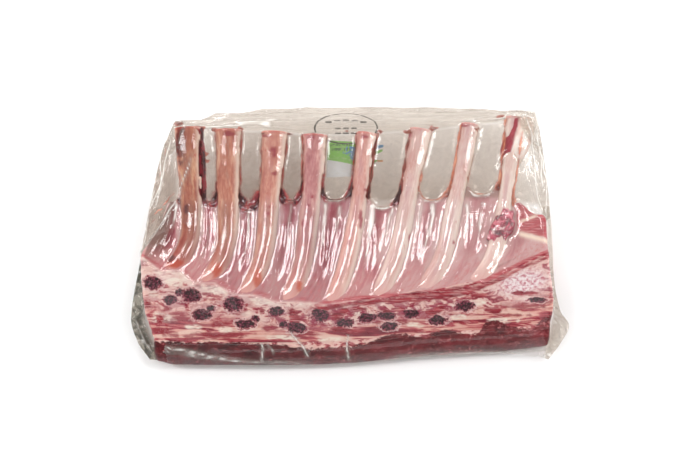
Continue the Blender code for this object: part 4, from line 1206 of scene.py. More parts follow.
def strip_mesh(name, pieces_, lift=0.12):
    """Flat shapes that lie on the under film: each a grid of (x, y) rows."""
    verts, faces, cov = [], [], []
    for px_, py_, colour in pieces_:
        nr, nc = px_.shape
        base = sum(len(v) for v in verts)
        z = on_under(px_, py_) + lift
        verts.append((np.stack([px_, py_, z], -1).reshape(-1, 3) + OFF) * MM)
        idx = base + np.arange(nr * nc).reshape(nr, nc)
        faces.append(np.stack([idx[:-1, :-1], idx[1:, :-1], idx[1:, 1:], idx[:-1, 1:]], -1).reshape(-1, 4))
        cov.append(np.full(nr * nc, float(colour)))
    verts, faces, cov = np.concatenate(verts), np.concatenate(faces), np.concatenate(cov)
    mesh = bpy.data.meshes.new(name)
    mesh.from_pydata(verts.tolist(), [], faces.tolist())
    layer = mesh.attributes.new("ink", "FLOAT", "POINT")
    layer.data.foreach_set("value", cov.astype(np.float32))
    layer = mesh.attributes.new("flow", "FLOAT_VECTOR", "POINT")
    layer.data.foreach_set("vector", verts.astype(np.float32).ravel())
    mesh.shade_smooth()
    obj = bpy.data.objects.new(name, mesh)
    bpy.context.scene.collection.objects.link(obj)
    return obj


def unchart(a, b, z):
    """(x, y) of the point at height z that shows at (a, b) on the facing plane."""
    y = (b - z * COS) / SIN
    for _ in range(6):
        w = -y * COS + z * SIN
        k = DIST / (DIST - w + NEAR)
        y = ((b - MIDB) / k + MIDB - z * COS) / SIN
    return a / k, y


def ring(a0, b0, ra, rb, width, z, lo=0.0, hi=360.0, n=60):
    ang = np.radians(np.linspace(lo, hi, n + 1))
    r = np.array([1 - width / 2, 1 + width / 2])[:, None]
    a, b = a0 + ra * r * np.cos(ang)[None], b0 + rb * r * np.sin(ang)[None] * (1 + 0 * r)
    return unchart(a, b, z)


def bar(a0, b0, la, lb, z, bend=0.0, n=14):
    u = np.linspace(-1, 1, n)[None] * np.ones((3, 1))
    v = np.linspace(-1, 1, 3)[:, None] * np.ones((1, n))
    return unchart(a0 + u * la, b0 + v * lb + bend * (1 - u**2), z)


def wedge(corners, z, n=18):
    (ax, ay), (bx, by), (cx, cy), (dx, dy) = corners
    u = np.linspace(0, 1, n)[None] * np.ones((n, 1))
    v = np.linspace(0, 1, n)[:, None] * np.ones((1, n))
    a = ax * (1 - u) * (1 - v) + bx * u * (1 - v) + cx * u * v + dx * (1 - u) * v
    b = ay * (1 - u) * (1 - v) + by * u * (1 - v) + cy * u * v + dy * (1 - u) * v
    return unchart(a, b, z)


STAMP = (-2.2, 64.6)     # middle of the oval on the facing plane
stamp_parts = [(*ring(STAMP[0], STAMP[1], 17.2, 8.3, w_, 27.5, lo_, hi_), 0) for lo_, hi_, w_ in ((-6, 62, 0.05), (66, 116, 0.035), (120, 196, 0.055), (203, 352, 0.065))]
for i in range(5):
    stamp_parts.append((*bar(STAMP[0] - 9.6 + 4.8 * i, STAMP[1] + 3.2 + 1.5 * (1 - ((i - 2) / 2.2) ** 2), 1.7, 0.42, 28.0), 0))
for i in range(3):
    stamp_parts.append((*bar(STAMP[0] - 4.4 + 4.4 * i, STAMP[1] + 0.2, 1.5, 0.45, 28.0), 0))
for i in range(3):
    stamp_parts.append((*bar(STAMP[0] - 4.4 + 4.4 * i, STAMP[1] - 3.4, 1.6, 0.45, 26.5), 0))
stamp = strip_mesh("printed_oval", stamp_parts)
label_parts = [
    (*wedge(((-12.6, 47.2), (2.6, 44.6), (3.4, 56.0), (-11.6, 56.6)), 24.5), 1),
    (*wedge(((-4.2, 50.6), (2.6, 46.2), (3.2, 53.8), (-1.6, 53.9)), 24.6), 2),
    (*wedge(((-13.0, 38.0), (1.6, 38.6), (2.6, 44.6), (-12.6, 47.2)), 24.4), 3),
    (*bar(-5.0, 54.6, 5.8, 0.5, 24.8), 4), (*bar(-4.6, 52.4, 5.4, 0.7, 24.8), 4),
    (*wedge(((12.4, 52.0), (18.2, 53.4), (18.4, 54.6), (12.6, 54.4)), 24.5), 2),
    (*wedge(((12.0, 48.8), (17.8, 51.4), (18.0, 52.4), (12.2, 51.2)), 24.5), 1),
    (*wedge(((11.6, 45.0), (15.8, 46.8), (18.0, 46.9), (12.0, 47.2)), 24.5), 1),
    (*wedge(((15.2, 46.2), (18.0, 46.2), (18.0, 47.1), (15.0, 47.0)), 24.6), 5),
]
label = strip_mesh("printed_fields", label_parts, 0.1)
PIECES += [(stamp, "print"), (label, "print")]


# ------------------------------------------------------------------ shader helpers
def rgb(r, g, b):
    def lin(v):
        v /= 255.0
        return v / 12.92 if v <= 0.04045 else ((v + 0.055) / 1.055) ** 2.4
    return (lin(r), lin(g), lin(b), 1.0)


class Shade:
    def __init__(self, name):
        self.mat = bpy.data.materials.new(name)
        self.mat.use_nodes = True
        self.tree = self.mat.node_tree
        self.tree.nodes.clear()

    def new(self, kind, **inputs):
        node = self.tree.nodes.new(kind)
        for key, value in inputs.items():
            self.put(node.inputs[key.replace("_", " ")], value)
        return node

    def put(self, socket, value):
        if value is None:
            return
        if isinstance(value, bpy.types.NodeSocket):
            self.tree.links.new(value, socket)
        else:
            if socket.type == "RGBA" and isinstance(value, (int, float)):
                value = (value, value, value, 1.0)
            socket.default_value = value

    def attr(self, name, vector=False):
        node = self.new("ShaderNodeAttribute")
        node.attribute_name = name
        return node.outputs["Vector" if vector else "Fac"]

    def scaled(self, vector, sx, sy, sz, dx=0.0, dy=0.0, dz=0.0):
        """The vector in mm times (sx, sy, sz), then moved."""
        node = self.new("ShaderNodeMapping")
        self.put(node.inputs["Vector"], vector)
        node.inputs["Scale"].default_value = (sx * 1000, sy * 1000, sz * 1000)
        node.inputs["Location"].default_value = (dx, dy, dz)
        return node.outputs["Vector"]

    def noise(self, vector, detail=3.0, rough=0.5, distort=0.0):
        node = self.new("ShaderNodeTexNoise")
        self.put(node.inputs["Vector"], vector)
        node.inputs["Scale"].default_value = 1.0
        node.inputs["Detail"].default_value = detail
        node.inputs["Roughness"].default_value = rough
        node.inputs["Distortion"].default_value = distort
        return node.outputs["Fac"]

    def cells(self, vector, feature="F1", rand=1.0):
        node = self.new("ShaderNodeTexVoronoi")
        node.feature = feature
        self.put(node.inputs["Vector"], vector)
        node.inputs["Scale"].default_value = 1.0
        node.inputs["Randomness"].default_value = rand
        return node.outputs["Distance"]

    def ramp(self, fac, *stops):
        node = self.new("ShaderNodeValToRGB")
        self.put(node.inputs["Fac"], fac)
        points = node.color_ramp.elements
        while len(points) < len(stops):
            points.new(0.5)
        for point, (at, colour) in zip(points, stops):
            point.position = at
            point.color = rgb(*colour) if len(colour) == 3 else colour
        return node.outputs["Color"]

    def span(self, value, lo, hi, a=0.0, b=1.0):
        node = self.new("ShaderNodeMapRange")
        node.interpolation_type = "SMOOTHSTEP"
        for socket, v in zip(node.inputs[:5], (value, lo, hi, a, b)):
            self.put(socket, v)
        return node.outputs["Result"]

    def math(self, op, a, b=None, c=None):
        node = self.new("ShaderNodeMath")
        node.operation = op
        for socket, v in zip(node.inputs, (a, b, c)):
            self.put(socket, v)
        return node.outputs[0]

    def mul(self, *values):
        out = values[0]
        for v in values[1:]:
            out = self.math("MULTIPLY", out, v)
        return out

    def mix(self, fac, a, b, mode="MIX"):
        node = self.new("ShaderNodeMix")
        node.data_type = "RGBA"
        node.blend_type = mode
        node.clamp_factor = True
        self.put(node.inputs[0], fac)
        self.put(node.inputs[6], rgb(*a) if isinstance(a, tuple) and len(a) == 3 else a)
        self.put(node.inputs[7], rgb(*b) if isinstance(b, tuple) and len(b) == 3 else b)
        return node.outputs[2]

    def deepen(self, colour, power):
        """Darker and stronger in colour, then all of it times 0.87."""
        node = self.new("ShaderNodeGamma")
        self.put(node.inputs["Color"], colour)
        node.inputs["Gamma"].default_value = power
        return self.mix(1.0, node.outputs["Color"], (0.87, 0.87, 0.87, 1.0), "MULTIPLY")

    def bump(self, height, strength, distance_mm):
        node = self.new("ShaderNodeBump")
        self.put(node.inputs["Height"], height)
        node.inputs["Strength"].default_value = strength
        node.inputs["Distance"].default_value = distance_mm * MM
        return node.outputs["Normal"]

    def flesh(self, colour, rough, normal=None, coat=0.0, sub=0.0, spec=0.45):
        node = self.new("ShaderNodeBsdfPrincipled")
        self.put(node.inputs["Base Color"], colour)
        self.put(node.inputs["Roughness"], rough)
        self.put(node.inputs["Normal"], normal)
        node.inputs["Specular IOR Level"].default_value = spec
        node.inputs["Coat Weight"].default_value = coat
        node.inputs["Coat Roughness"].default_value = 0.12
        if sub:
            node.inputs["Subsurface Weight"].default_value = sub
            node.inputs["Subsurface Radius"].default_value = (1.0, 0.35, 0.25)
            node.inputs["Subsurface Scale"].default_value = 0.0016
        return node.outputs["BSDF"]

    def done(self, surface):
        out = self.new("ShaderNodeOutputMaterial")
        self.put(out.inputs["Surface"], surface)
        return self.mat


# ------------------------------------------------------------------ meat
def meat_material():
    s = Shade("lamb")
    flow, chart_v = s.attr("flow", True), s.attr("chart", True)
    gap, tt = s.attr("gapf"), s.attr("tt")
    # between the ribs: strands that run with the bones
    strand = s.noise(s.scaled(flow, 0.42, 0.055, 0.3), 4, 0.55, 0.6)
    fine = s.noise(s.scaled(flow, 1.6, 0.16, 0.3, 3.0), 3, 0.6)
    cloud = s.noise(s.scaled(flow, 0.11, 0.07, 0.3, 9.0), 3, 0.55)
    mixed = s.math("ADD", s.math("MULTIPLY", strand, 0.72), s.math("MULTIPLY", fine, 0.28))
    inner = s.ramp(mixed, (0.30, (166, 50, 78)), (0.40, (196, 92, 108)), (0.47, (220, 142, 146)), (0.56, (231, 182, 178)), (0.66, (240, 212, 205)), (0.78, (246, 230, 222)))
    inner = s.mix(s.span(cloud, 0.46, 0.66, 0.0, 0.75), inner, (234, 206, 194))
    # a rib's own edge of fat: paler beside each bone, deepest pink at mid-gap
    beside = s.math("ABSOLUTE", s.math("SUBTRACT", gap, 0.5))
    inner = s.mix(s.span(beside, 0.12, 0.27, 0.0, 0.45), inner, (240, 216, 206))
    inner = s.mix(s.span(tt, 0.34, 0.06, 0.0, 0.6), inner, (224, 176, 170))
    gap_w = s.math("ADD", gap, s.math("MULTIPLY", s.math("SUBTRACT", cloud, 0.5), 0.30))
    lanes = s.ramp(gap_w, (0.27, (240, 222, 214)), (0.34, (230, 198, 192)), (0.40, (206, 128, 136)), (0.47, (170, 60, 80)), (0.52, (176, 72, 90)), (0.58, (210, 138, 144)), (0.64, (230, 190, 188)), (0.71, (242, 224, 218)))
    per_gap = s.noise(s.scaled(flow, 0.0, 0.02, 0.3, 50.0), 2, 0.5)
    inner = s.mix(s.mul(s.span(tt, 0.15, 0.45, 0.0, 1.0), s.span(per_gap, 0.35, 0.65, 0.5, 0.85)), inner, lanes)
    inner = s.mix(s.span(s.attr("gapk"), 4.0, 6.0, 0.0, 0.40), inner, (240, 216, 208))
    inner = s.mix(1.0, inner, (0.76, 0.70, 0.735, 1.0), "MULTIPLY")
    third = s.math("ABSOLUTE", s.math("SUBTRACT", s.attr("gapk"), 2.6))
    inner = s.mix(s.span(third, 1.75, 1.3, 0.0, 0.8), inner, s.mix(1.0, inner, (0.82, 0.76, 0.80, 1.0), "MULTIPLY"))
    weave = s.noise(s.scaled(flow, 0.9, 0.5, 0.3, 1.0), 4, 0.6, 1.0)
    inner = s.mix(s.mul(s.span(weave, 0.54, 0.62), s.span(tt, 0.5, 0.15, 0.0, 0.5)), inner, (206, 116, 118))
    # the sawn face: fat with muscle worked through it, then long bands of muscle lower down
    fat_n = s.noise(s.scaled(chart_v, 0.16, 0.22, 0.0), 4, 0.55, 0.5)
    fat = s.ramp(fat_n, (0.3, (245, 234, 224)), (0.5, (240, 222, 210)), (0.7, (230, 200, 188)))
    patch = s.noise(s.scaled(chart_v, 0.13, 0.30, 0.0, 5.0), 5, 0.62, 0.8)
    fat = s.mix(s.span(patch, 0.50, 0.55, 0.0, 0.8), fat, (198, 104, 112))
    fat = s.mix(s.span(patch, 0.55, 0.61, 0.0, 0.85), fat, (152, 44, 70))
    long_n = s.noise(s.scaled(chart_v, 0.032, 0.30, 0.0, 2.0), 4, 0.52, 0.9)
    bands = s.ramp(long_n, (0.36, (138, 42, 64)), (0.43, (172, 74, 88)), (0.485, (198, 110, 116)), (0.52, (232, 192, 178)), (0.62, (242, 224, 208)))
    face = s.mix(s.attr("band"), fat, bands)
    pink_n = s.noise(s.scaled(chart_v, 0.22, 0.9, 0.0, 61.0), 4, 0.6, 0.4)
    face = s.mix(s.mul(s.attr("pinks"), s.span(pink_n, 0.36, 0.5, 0.15, 0.85)), face, (168, 78, 86))
    face = s.mix(1.0, face, (0.98, 0.835, 0.855, 1.0), "MULTIPLY")
    face = s.mix(s.mul(s.attr("whites"), s.span(pink_n, 0.60, 0.46, 0.25, 0.95)), face, (247, 235, 222))
    # the fat band along the ridge, paler in part as a painted highlight line
    face = s.mix(s.mul(s.attr("ridge"), s.span(fat_n, 0.35, 0.6, 0.85, 0.35)), face, (246, 230, 222))
    ragged = s.math("ADD", s.attr("marrow"), s.math("MULTIPLY", s.math("SUBTRACT", s.noise(s.scaled(chart_v, 0.85, 0.85, 0.0, 31.0), 5, 0.72), 0.5), 1.7))
    face = s.mix(s.mul(s.span(ragged, -0.42, -0.22), s.span(ragged, 0.02, -0.14, 0.0, 0.7)), face, (244, 224, 218))
    face = s.mix(s.mul(s.span(ragged, -0.16, -0.02), s.span(ragged, 0.16, 0.04, 0.0, 0.8)), face, (186, 84, 100))
    cell = s.cells(s.scaled(chart_v, 0.85, 0.95, 0.0))
    grain = s.noise(s.scaled(chart_v, 0.8, 0.8, 0.0, 4.0), 3, 0.6)
    core = s.mix(s.span(cell, 0.12, 0.55), (150, 56, 88), (52, 8, 24))
    core = s.mix(s.span(grain, 0.54, 0.66, 0.0, 0.75), core, (186, 108, 128))
    # the eye muscle
    grain_e = s.noise(s.scaled(chart_v, 0.10, 0.22, 0.0, 7.0), 4, 0.6, 0.4)
    eye = s.ramp(grain_e, (0.32, (78, 22, 30)), (0.5, (104, 28, 38)), (0.68, (132, 50, 60)))
    marb = s.noise(s.scaled(chart_v, 0.20, 0.75, 0.0, 11.0), 2, 0.5, 1.6)
    eye = s.mix(s.span(s.math("ABSOLUTE", s.math("SUBTRACT", marb, 0.5)), 0.013, 0.0, 0.0, 0.75), eye, (206, 150, 146))
    fleck = s.noise(s.scaled(chart_v, 0.42, 0.75, 0.0, 15.0), 3, 0.6, 1.2)
    eye = s.mix(s.span(fleck, 0.61, 0.66, 0.0, 0.8), eye, (206, 154, 150))
    sparkle = s.noise(s.scaled(chart_v, 1.1, 1.3, 0.0, 19.0), 2, 0.6)
    eye = s.mix(s.mul(s.attr("glint"), s.span(sparkle, 0.50, 0.62, 0.0, 0.8)), eye, (214, 180, 178))
    # painted shade: the eye is darker and duller toward its left end, brighter and redder toward the right
    eye = s.mix(1.0, eye, s.mix(s.attr("painted_shade_eye"), (0.84, 0.52, 0.58, 1.0), (1.17, 0.78, 0.84, 1.0)), "MULTIPLY")
    red_n = s.noise(s.scaled(flow, 0.10, 0.5, 0.2, 6.0), 4, 0.55, 0.5)
    red = s.ramp(red_n, (0.3, (132, 28, 48)), (0.5, (164, 52, 68)), (0.66, (196, 92, 98)), (0.8, (224, 164, 156)))
    stain_n = s.noise(s.scaled(chart_v, 0.16, 0.3, 0.0, 41.0), 4, 0.65, 0.5)
    face = s.mix(s.mul(s.attr("stain"), s.span(stain_n, 0.42, 0.56, 0.0, 0.9)), face, (164, 44, 82))
    # the same pale band on the top side of the ridge, partly painted highlight
    inner = s.mix(s.mul(s.attr("ridge"), 0.8), inner, (238, 220, 212))
    colour = s.mix(s.attr("inner"), face, inner)
    rag = s.math("SUBTRACT", s.noise(s.scaled(chart_v, 0.5, 0.8, 0.0, 21.0), 4, 0.6), 0.5)
    rag2 = s.math("SUBTRACT", s.noise(s.scaled(chart_v, 1.1, 1.1, 0.0, 25.0), 4, 0.65), 0.5)
    colour = s.mix(s.span(s.math("ADD", s.attr("eye"), s.math("MULTIPLY", rag, 5.0)), -0.5, 0.5), colour, eye)
    red = s.mix(s.mul(s.attr("inner"), 0.55), red, (200, 116, 120))
    red = s.mix(s.mul(s.span(s.noise(s.scaled(chart_v, 0.10, 1.3, 0.0, 71.0), 3, 0.6, 0.3), 0.52, 0.62), 0.6), red, (226, 178, 176))
    white_n = s.noise(s.scaled(chart_v, 0.55, 0.7, 0.0, 81.0), 4, 0.65, 0.4)
    # white fat at the right end, with a painted highlight for its gloss
    colour = s.mix(s.attr("white_fat_and_sheen"), colour, s.ramp(white_n, (0.36, (206, 128, 142)), (0.46, (232, 196, 200)), (0.56, (248, 236, 236))))
    colour = s.mix(s.attr("red"), colour, red)
    # cream seam fat, with the painted highlight streak along it
    colour = s.mix(s.attr("seam"), colour, (240, 220, 204))
    colour = s.mix(s.span(ragged, -0.04, 0.14, 0.0, 0.96), colour, core)
    # outside of the loin: the fat cap
    cap_n = s.noise(s.scaled(flow, 0.05, 0.09, 0.05, 13.0), 4, 0.6, 0.8)
    cap = s.ramp(cap_n, (0.34, (206, 120, 112)), (0.42, (226, 180, 164)), (0.5, (238, 218, 200)), (0.7, (243, 230, 214)))
    colour = s.mix(s.attr("capfat"), colour, cap)
    rough = s.span(fine, 0.3, 0.7, 0.28, 0.5)
    relief = s.math("ADD", s.math("MULTIPLY", mixed, 0.6), s.math("MULTIPLY", grain, 0.4))
    return s.done(s.flesh(s.deepen(colour, 1.22), rough, s.bump(relief, 0.6, 0.7), sub=0.1, spec=0.18))


def bone_material(k):
    s = Shade(f"bone_{k + 1}")
    flow = s.attr("flow", True)
    tt, cross = s.attr("tt"), s.attr("cross")
    low, mid_, high = (
        ((176, 112, 96), (198, 142, 120), (222, 186, 160)), ((184, 120, 104), (206, 150, 130), (228, 190, 168)),
        ((196, 134, 122), (214, 162, 146), (232, 200, 182)), ((180, 120, 122), (204, 150, 148), (226, 186, 178)),
        ((204, 144, 136), (220, 172, 162), (234, 202, 190)), ((208, 164, 156), (222, 192, 184), (236, 218, 208)),
        ((210, 168, 160), (224, 196, 189), (238, 220, 211)), ((216, 180, 172), (230, 206, 196), (242, 226, 216)))[k]
    cloud = s.noise(s.scaled(flow, 0.20, 0.05, 0.2, 2.0 + k), 4, 0.55, 0.4)
    grain = s.noise(s.scaled(flow, 1.1, 0.22, 0.6, 5.0 + k), 4, 0.6)
    body = s.ramp(s.math("ADD", s.math("MULTIPLY", cloud, 0.65), s.math("MULTIPLY", grain, 0.35)), (0.38, low), (0.5, mid_), (0.62, high))
    # creamy membrane at the right edge, made paler there as painted light on that side; a thin one at the left
    body = s.mix(s.span(cross, 0.35, 0.85, 0.0, 0.8), body, (242, 228, 216))
    body = s.mix(s.span(cross, -0.72, -0.98, 0.0, 0.55), body, (232, 198, 186))
    # purple cast in the middle of the paler bones, browner on the first two
    cast = (150, 84, 78) if k < 2 else (176, 104, 118)
    body = s.mix(s.mul(s.span(s.math("ABSOLUTE", s.math("ADD", cross, 0.15)), 0.5, 0.1), s.span(cloud, 0.42, 0.62, 0.0, 0.45)), body, cast)
    pores = s.noise(s.scaled(flow, 0.7, 0.32, 0.4, 8.0 + k), 2, 0.5)
    body = s.mix(s.span(pores, 0.68, 0.74, 0.0, 0.5), body, (190, 84, 76))
    # toward the spine the rib sinks under pink membrane
    sunk = s.noise(s.scaled(flow, 0.35, 0.08, 0.2, 12.0 + k), 4, 0.55, 0.5)
    under = s.ramp(sunk, (0.35, (186, 102, 98)), (0.5, (210, 152, 142)), (0.64, (230, 198, 186)))
    body = s.mix(s.span(tt, 0.75, 0.1, 0.0, 0.7 if k < 4 else 0.15), body, under)
    body = s.mix(s.mul(s.span(tt, 1.05, 0.8, 0.0, 1.0), s.span(tt, 0.05, 0.3)), body, s.mix(1.0, body, (0.84, 0.82, 0.84, 1.0) if k < 4 else (0.95, 0.95, 0.96, 1.0), "MULTIPLY"))
    body = s.mix(s.span(tt, 0.22, 0.03, 0.0, 0.8), body, (220, 174, 168))
    body = s.mix(s.mul(s.attr("orange"), 0.8), body, (200, 96, 66))
    body = s.mix(s.mul(s.attr("blot"), s.span(grain, 0.30, 0.5, 0.3, 0.8)), body, (158, 40, 66) if k else (116, 36, 44))
    # the sawn end
    body = s.mix(s.mul(s.span(tt, 1.96, 1.99), s.span(grain, 0.40, 0.60, 0.1, 0.6)), body, (204, 122, 116))
    body = s.mix(s.attr("core"), body, (112, 26, 36))
    relief = s.math("ADD", s.math("MULTIPLY", cloud, 0.5), s.math("MULTIPLY", grain, 0.5))
    return s.done(s.flesh(s.deepen(body, (1.54, 1.38, 1.30, 1.26, 1.16, 1.12, 1.12, 1.1)[k]), s.span(grain, 0.3, 0.7, 0.3, 0.5), s.bump(relief, 0.5, 0.5), sub=0.1, spec=0.2))


def rind_material():
    s = Shade("rind")
    flow = s.attr("flow", True)
    n = s.noise(s.scaled(flow, 0.35, 0.08, 0.2, 3.0), 4, 0.55, 0.5)
    fat = s.ramp(n, (0.35, (240, 210, 200)), (0.48, (250, 236, 226)), (0.65, (252, 246, 240)))
    muscle = s.ramp(n, (0.3, (136, 30, 50)), (0.5, (166, 54, 72)), (0.7, (194, 88, 98)))
    colour = s.mix(s.attr("lens"), fat, muscle)
    return s.done(s.flesh(s.deepen(colour, 1.15), 0.34, s.bump(n, 0.4, 0.5), sub=0.1, spec=0.2))


def torn_material():
    s = Shade("torn")
    flow = s.attr("flow", True)
    n = s.noise(s.scaled(flow, 0.3, 0.3, 0.3), 4, 0.6, 1.0)
    dark = s.ramp(n, (0.32, (62, 6, 20)), (0.45, (120, 16, 42)), (0.55, (178, 46, 78)), (0.68, (222, 140, 150)))
    colour = s.mix(s.mul(s.attr("pale"), 0.7), dark, (240, 208, 206))
    return s.done(s.flesh(colour, 0.16, s.bump(n, 0.7, 1.0), coat=0.8))


def film_material(name, base_haze):
    s = Shade(name)
    flow = s.attr("flow", True)
    crease_and_sheen, slack, web, window, spare = (s.attr(k) for k in ("crease_and_sheen", "slack", "web", "window", "spare"))
    fine = s.noise(s.scaled(flow, 0.16, 0.16, 0.16), 4, 0.6, 0.8)
    lines = s.noise(s.scaled(flow, 0.05, 0.6, 0.05, 7.0), 4, 0.6, 0.6)
    along = s.noise(s.scaled(flow, 0.30, 0.05, 0.12, 17.0), 3, 0.55, 0.7)
    fine = s.math("ADD", fine, s.math("MULTIPLY", s.attr("speck"), s.noise(s.scaled(flow, 0.75, 0.75, 0.75, 27.0), 3, 0.6)))
    cross_grain = s.math("ADD", 0.07, s.math("MULTIPLY", s.attr("slack"), 0.3))
    normal = s.bump(s.math("ADD", s.math("MULTIPLY", fine, 0.5), s.math("ADD", s.math("MULTIPLY", lines, cross_grain), s.math("MULTIPLY", along, 0.55))), 0.5, 0.6)
    loose = s.math("MAXIMUM", s.math("MAXIMUM", slack, web), s.math("MULTIPLY", window, 0.7))
    tint = s.mix(loose, (0.975, 0.97, 0.965, 1.0), (0.85, 0.81, 0.77, 1.0))
    # painted shade: darker, browner film where shade lies behind it
    tint = s.mix(s.mul(s.attr("film_painted_shade"), 0.8), tint, (0.46, 0.385, 0.335, 1.0))
    # painted shade: the spare film at the lower left is tinted near black in patches, for the shade inside its crumples
    tint = s.mix(s.mul(spare, 0.95), tint, s.mix(s.span(fine, 0.42, 0.56), (0.14, 0.14, 0.11, 1.0), (0.60, 0.575, 0.52, 1.0)))
    clear = s.new("ShaderNodeBsdfTransparent", Color=tint).outputs[0]
    gloss = s.new("ShaderNodeBsdfGlossy", Color=(1, 1, 1, 1), Roughness=0.045, Normal=normal).outputs[0]
    weight = s.new("ShaderNodeLayerWeight", Blend=0.5, Normal=normal).outputs["Facing"]
    fres = s.math("ADD", s.math("SUBTRACT", 0.062, s.math("MULTIPLY", s.attr("frontal"), 0.032)), s.math("MULTIPLY", s.math("POWER", weight, 6.0), 0.16))
    pane = s.new("ShaderNodeMixShader")
    s.put(pane.inputs[0], fres)
    s.put(pane.inputs[1], clear)
    s.put(pane.inputs[2], gloss)
    # where it is loose or folded, the film turns milky; on the arcs below the windows and along the window rims the
    # milk is a painted highlight
    milk_colour = s.mix(s.span(crease_and_sheen, 0.2, 0.9), (186, 178, 168), (250, 246, 240))
    # painted shade also darkens the milky folds there
    milk_colour = s.mix(s.mul(s.attr("film_painted_shade"), s.span(crease_and_sheen, 0.5, 0.1), 0.7), milk_colour, (166, 140, 124))
    milk = s.flesh(milk_colour, 0.25, normal)
    haze = s.math("ADD", s.math("MULTIPLY", base_haze, s.math("SUBTRACT", 1.0, s.attr("frontal"))), s.math("MULTIPLY", slack, s.span(lines, 0.35, 0.65, 0.06, 0.26)))
    haze = s.math("ADD", haze, s.mul(web, s.math("SUBTRACT", 1.0, s.math("MULTIPLY", spare, 0.9)), s.span(fine, 0.35, 0.65, 0.06, 0.2)))
    haze = s.math("ADD", haze, s.math("MULTIPLY", window, s.span(fine, 0.35, 0.65, 0.05, 0.13)))
    haze = s.math("ADD", haze, s.math("MULTIPLY", crease_and_sheen, 0.64))
    haze = s.math("ADD", haze, s.math("MULTIPLY", spare, 0.06))
    cloudy = s.new("ShaderNodeMixShader")
    s.put(cloudy.inputs[0], s.math("MINIMUM", haze, 0.85))
    s.put(cloudy.inputs[1], pane.outputs[0])
    s.put(cloudy.inputs[2], milk)
    # blood purged from the cut gathers along the bones and in the corners of the windows; its darkest red there is also
    # painted shade in the crevices
    blood_n = s.noise(s.scaled(flow, 0.25, 0.12, 0.2, 3.0), 4, 0.6, 0.5)
    purge_and_shade = s.attr("purge_and_shade")
    dark = s.ramp(blood_n, (0.36, (36, 6, 14)), (0.5, (68, 12, 24)), (0.64, (122, 34, 44)))
    brown = s.ramp(blood_n, (0.36, (150, 72, 58)), (0.5, (190, 112, 84)), (0.64, (226, 170, 138)))
    blood_and_shade_colour = s.mix(s.attr("rust"), dark, brown)
    blood_and_shade_colour = s.mix(s.span(purge_and_shade, 0.55, 0.25, 0.0, 0.5), blood_and_shade_colour, (196, 92, 84))
    blood = s.flesh(blood_and_shade_colour, 0.2, normal)
    amount = s.math("MULTIPLY", s.span(s.math("ADD", purge_and_shade, s.math("MULTIPLY", s.math("SUBTRACT", blood_n, 0.5), 0.5)), 0.14, 0.52), 0.93)
    full = s.new("ShaderNodeMixShader")
    s.put(full.inputs[0], amount)
    s.put(full.inputs[1], cloudy.outputs[0])
    s.put(full.inputs[2], blood)
    return s.done(full.outputs[0])


def ink_material():
    s = Shade("ink")
    ink = s.attr("ink")
    colour = s.ramp(s.math("DIVIDE", ink, 6.0), (0.0, (52, 48, 44)), (0.12, (122, 190, 74)), (0.28, (86, 142, 188)), (0.45, (214, 220, 226)), (0.62, (62, 116, 52)), (0.78, (206, 128, 62)))
    ramp = s.tree.nodes[-1]
    for node in s.tree.nodes:
        if node.type == "VALTORGB":
            node.color_ramp.interpolation = "CONSTANT"
    n = s.noise(s.scaled(s.attr("flow", True), 0.6, 0.6, 0.6), 3, 0.6)
    colour = s.mix(s.span(n, 0.5, 0.7, 0.0, 0.25), colour, (214, 210, 200))
    return s.done(s.flesh(colour, 0.4))


loin.data.materials.append(meat_material())
for k in range(8):
    bpy.data.objects[f"rib_{k + 1}"].data.materials.append(bone_material(k))
rind.data.materials.append(rind_material())
torn.data.materials.append(torn_material())
film_top.data.materials.append(film_material("film_upper", 0.02))
film_under.data.materials.append(film_material("film_lower", 0.03))
ink_m = ink_material()
stamp.data.materials.append(ink_m)
label.data.materials.append(ink_m)

for obj, slot in PIECES:
    face_out(obj, {"film_top": 1, "film_under": -1, "printed_oval": 1, "printed_fields": 1}.get(obj.name))
    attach(obj, "root")
    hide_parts("vacuum_pack")

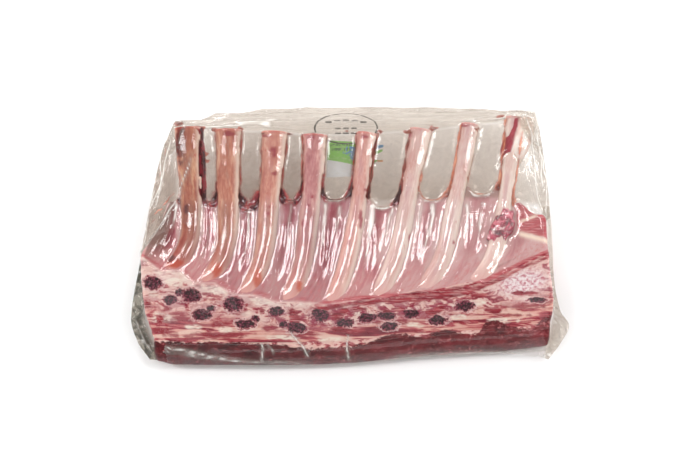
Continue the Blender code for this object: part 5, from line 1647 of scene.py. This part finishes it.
# ------------------------------------------------------------------ floor, light and camera
scene = bpy.context.scene
me = bpy.data.meshes.new("floor")
me.from_pydata([(-3, -3, -0.0002), (3, -3, -0.0002), (3, 3, -0.0002), (-3, 3, -0.0002)], [], [(0, 1, 2, 3)])
floor = bpy.data.objects.new("floor", me)
scene.collection.objects.link(floor)
fs = Shade("paper")
me.materials.append(fs.done(fs.flesh((0.985, 0.985, 0.983, 1.0), 0.9, spec=0.1)))


def lamp(name, loc, aim, sx, sy, power, colour=(1, 1, 1)):
    light = bpy.data.lights.new(name, "AREA")
    light.shape = "RECTANGLE"
    light.size, light.size_y, light.energy, light.color = sx, sy, power, colour
    obj = bpy.data.objects.new(name, light)
    scene.collection.objects.link(obj)
    obj.location = loc
    d = np.array(aim, float) - np.array(loc, float)
    obj.rotation_euler = (math.atan2(math.hypot(d[0], d[1]), -d[2]), 0.0, math.atan2(-d[0], d[1]) if (d[0] or d[1]) else 0.0)
    return obj


lamp("left_box", (-0.76, -0.06, 0.70), (0, 0, 0.02), 0.16, 1.1, 5.2)
lamp("right_box", (0.78, -0.04, 0.68), (0, 0, 0.02), 0.15, 1.1, 4.8)
lamp("back_left", (-0.37, 0.88, 0.62), (0, 0, 0.02), 0.26, 0.40, 3.8)
lamp("back_right", (0.38, 0.88, 0.62), (0, 0, 0.02), 0.26, 0.40, 3.8)
lamp("front_box", (0.0, -1.15, 0.85), (0, 0, 0.02), 1.8, 0.5, 3.8)

world = bpy.data.worlds.new("studio")
world.use_nodes = True
bg = world.node_tree.nodes["Background"]
bg.inputs[0].default_value = (1, 1, 1, 1)
bg.inputs[1].default_value = 0.50
scene.world = world

cam = bpy.data.cameras.new("camera")
cam.lens, cam.sensor_width = 100.0, 36.0
cam.clip_start, cam.clip_end = 0.05, 20.0
eye_ = bpy.data.objects.new("camera", cam)
scene.collection.objects.link(eye_)
eye_.location = (OFF[0] * MM, -0.4035 + OFF[1] * MM, 1.0169)
eye_.rotation_euler = (math.radians(22.0), 0.0, 0.0)
scene.camera = eye_
scene.view_settings.view_transform = "Standard"
scene.view_settings.look = "None"
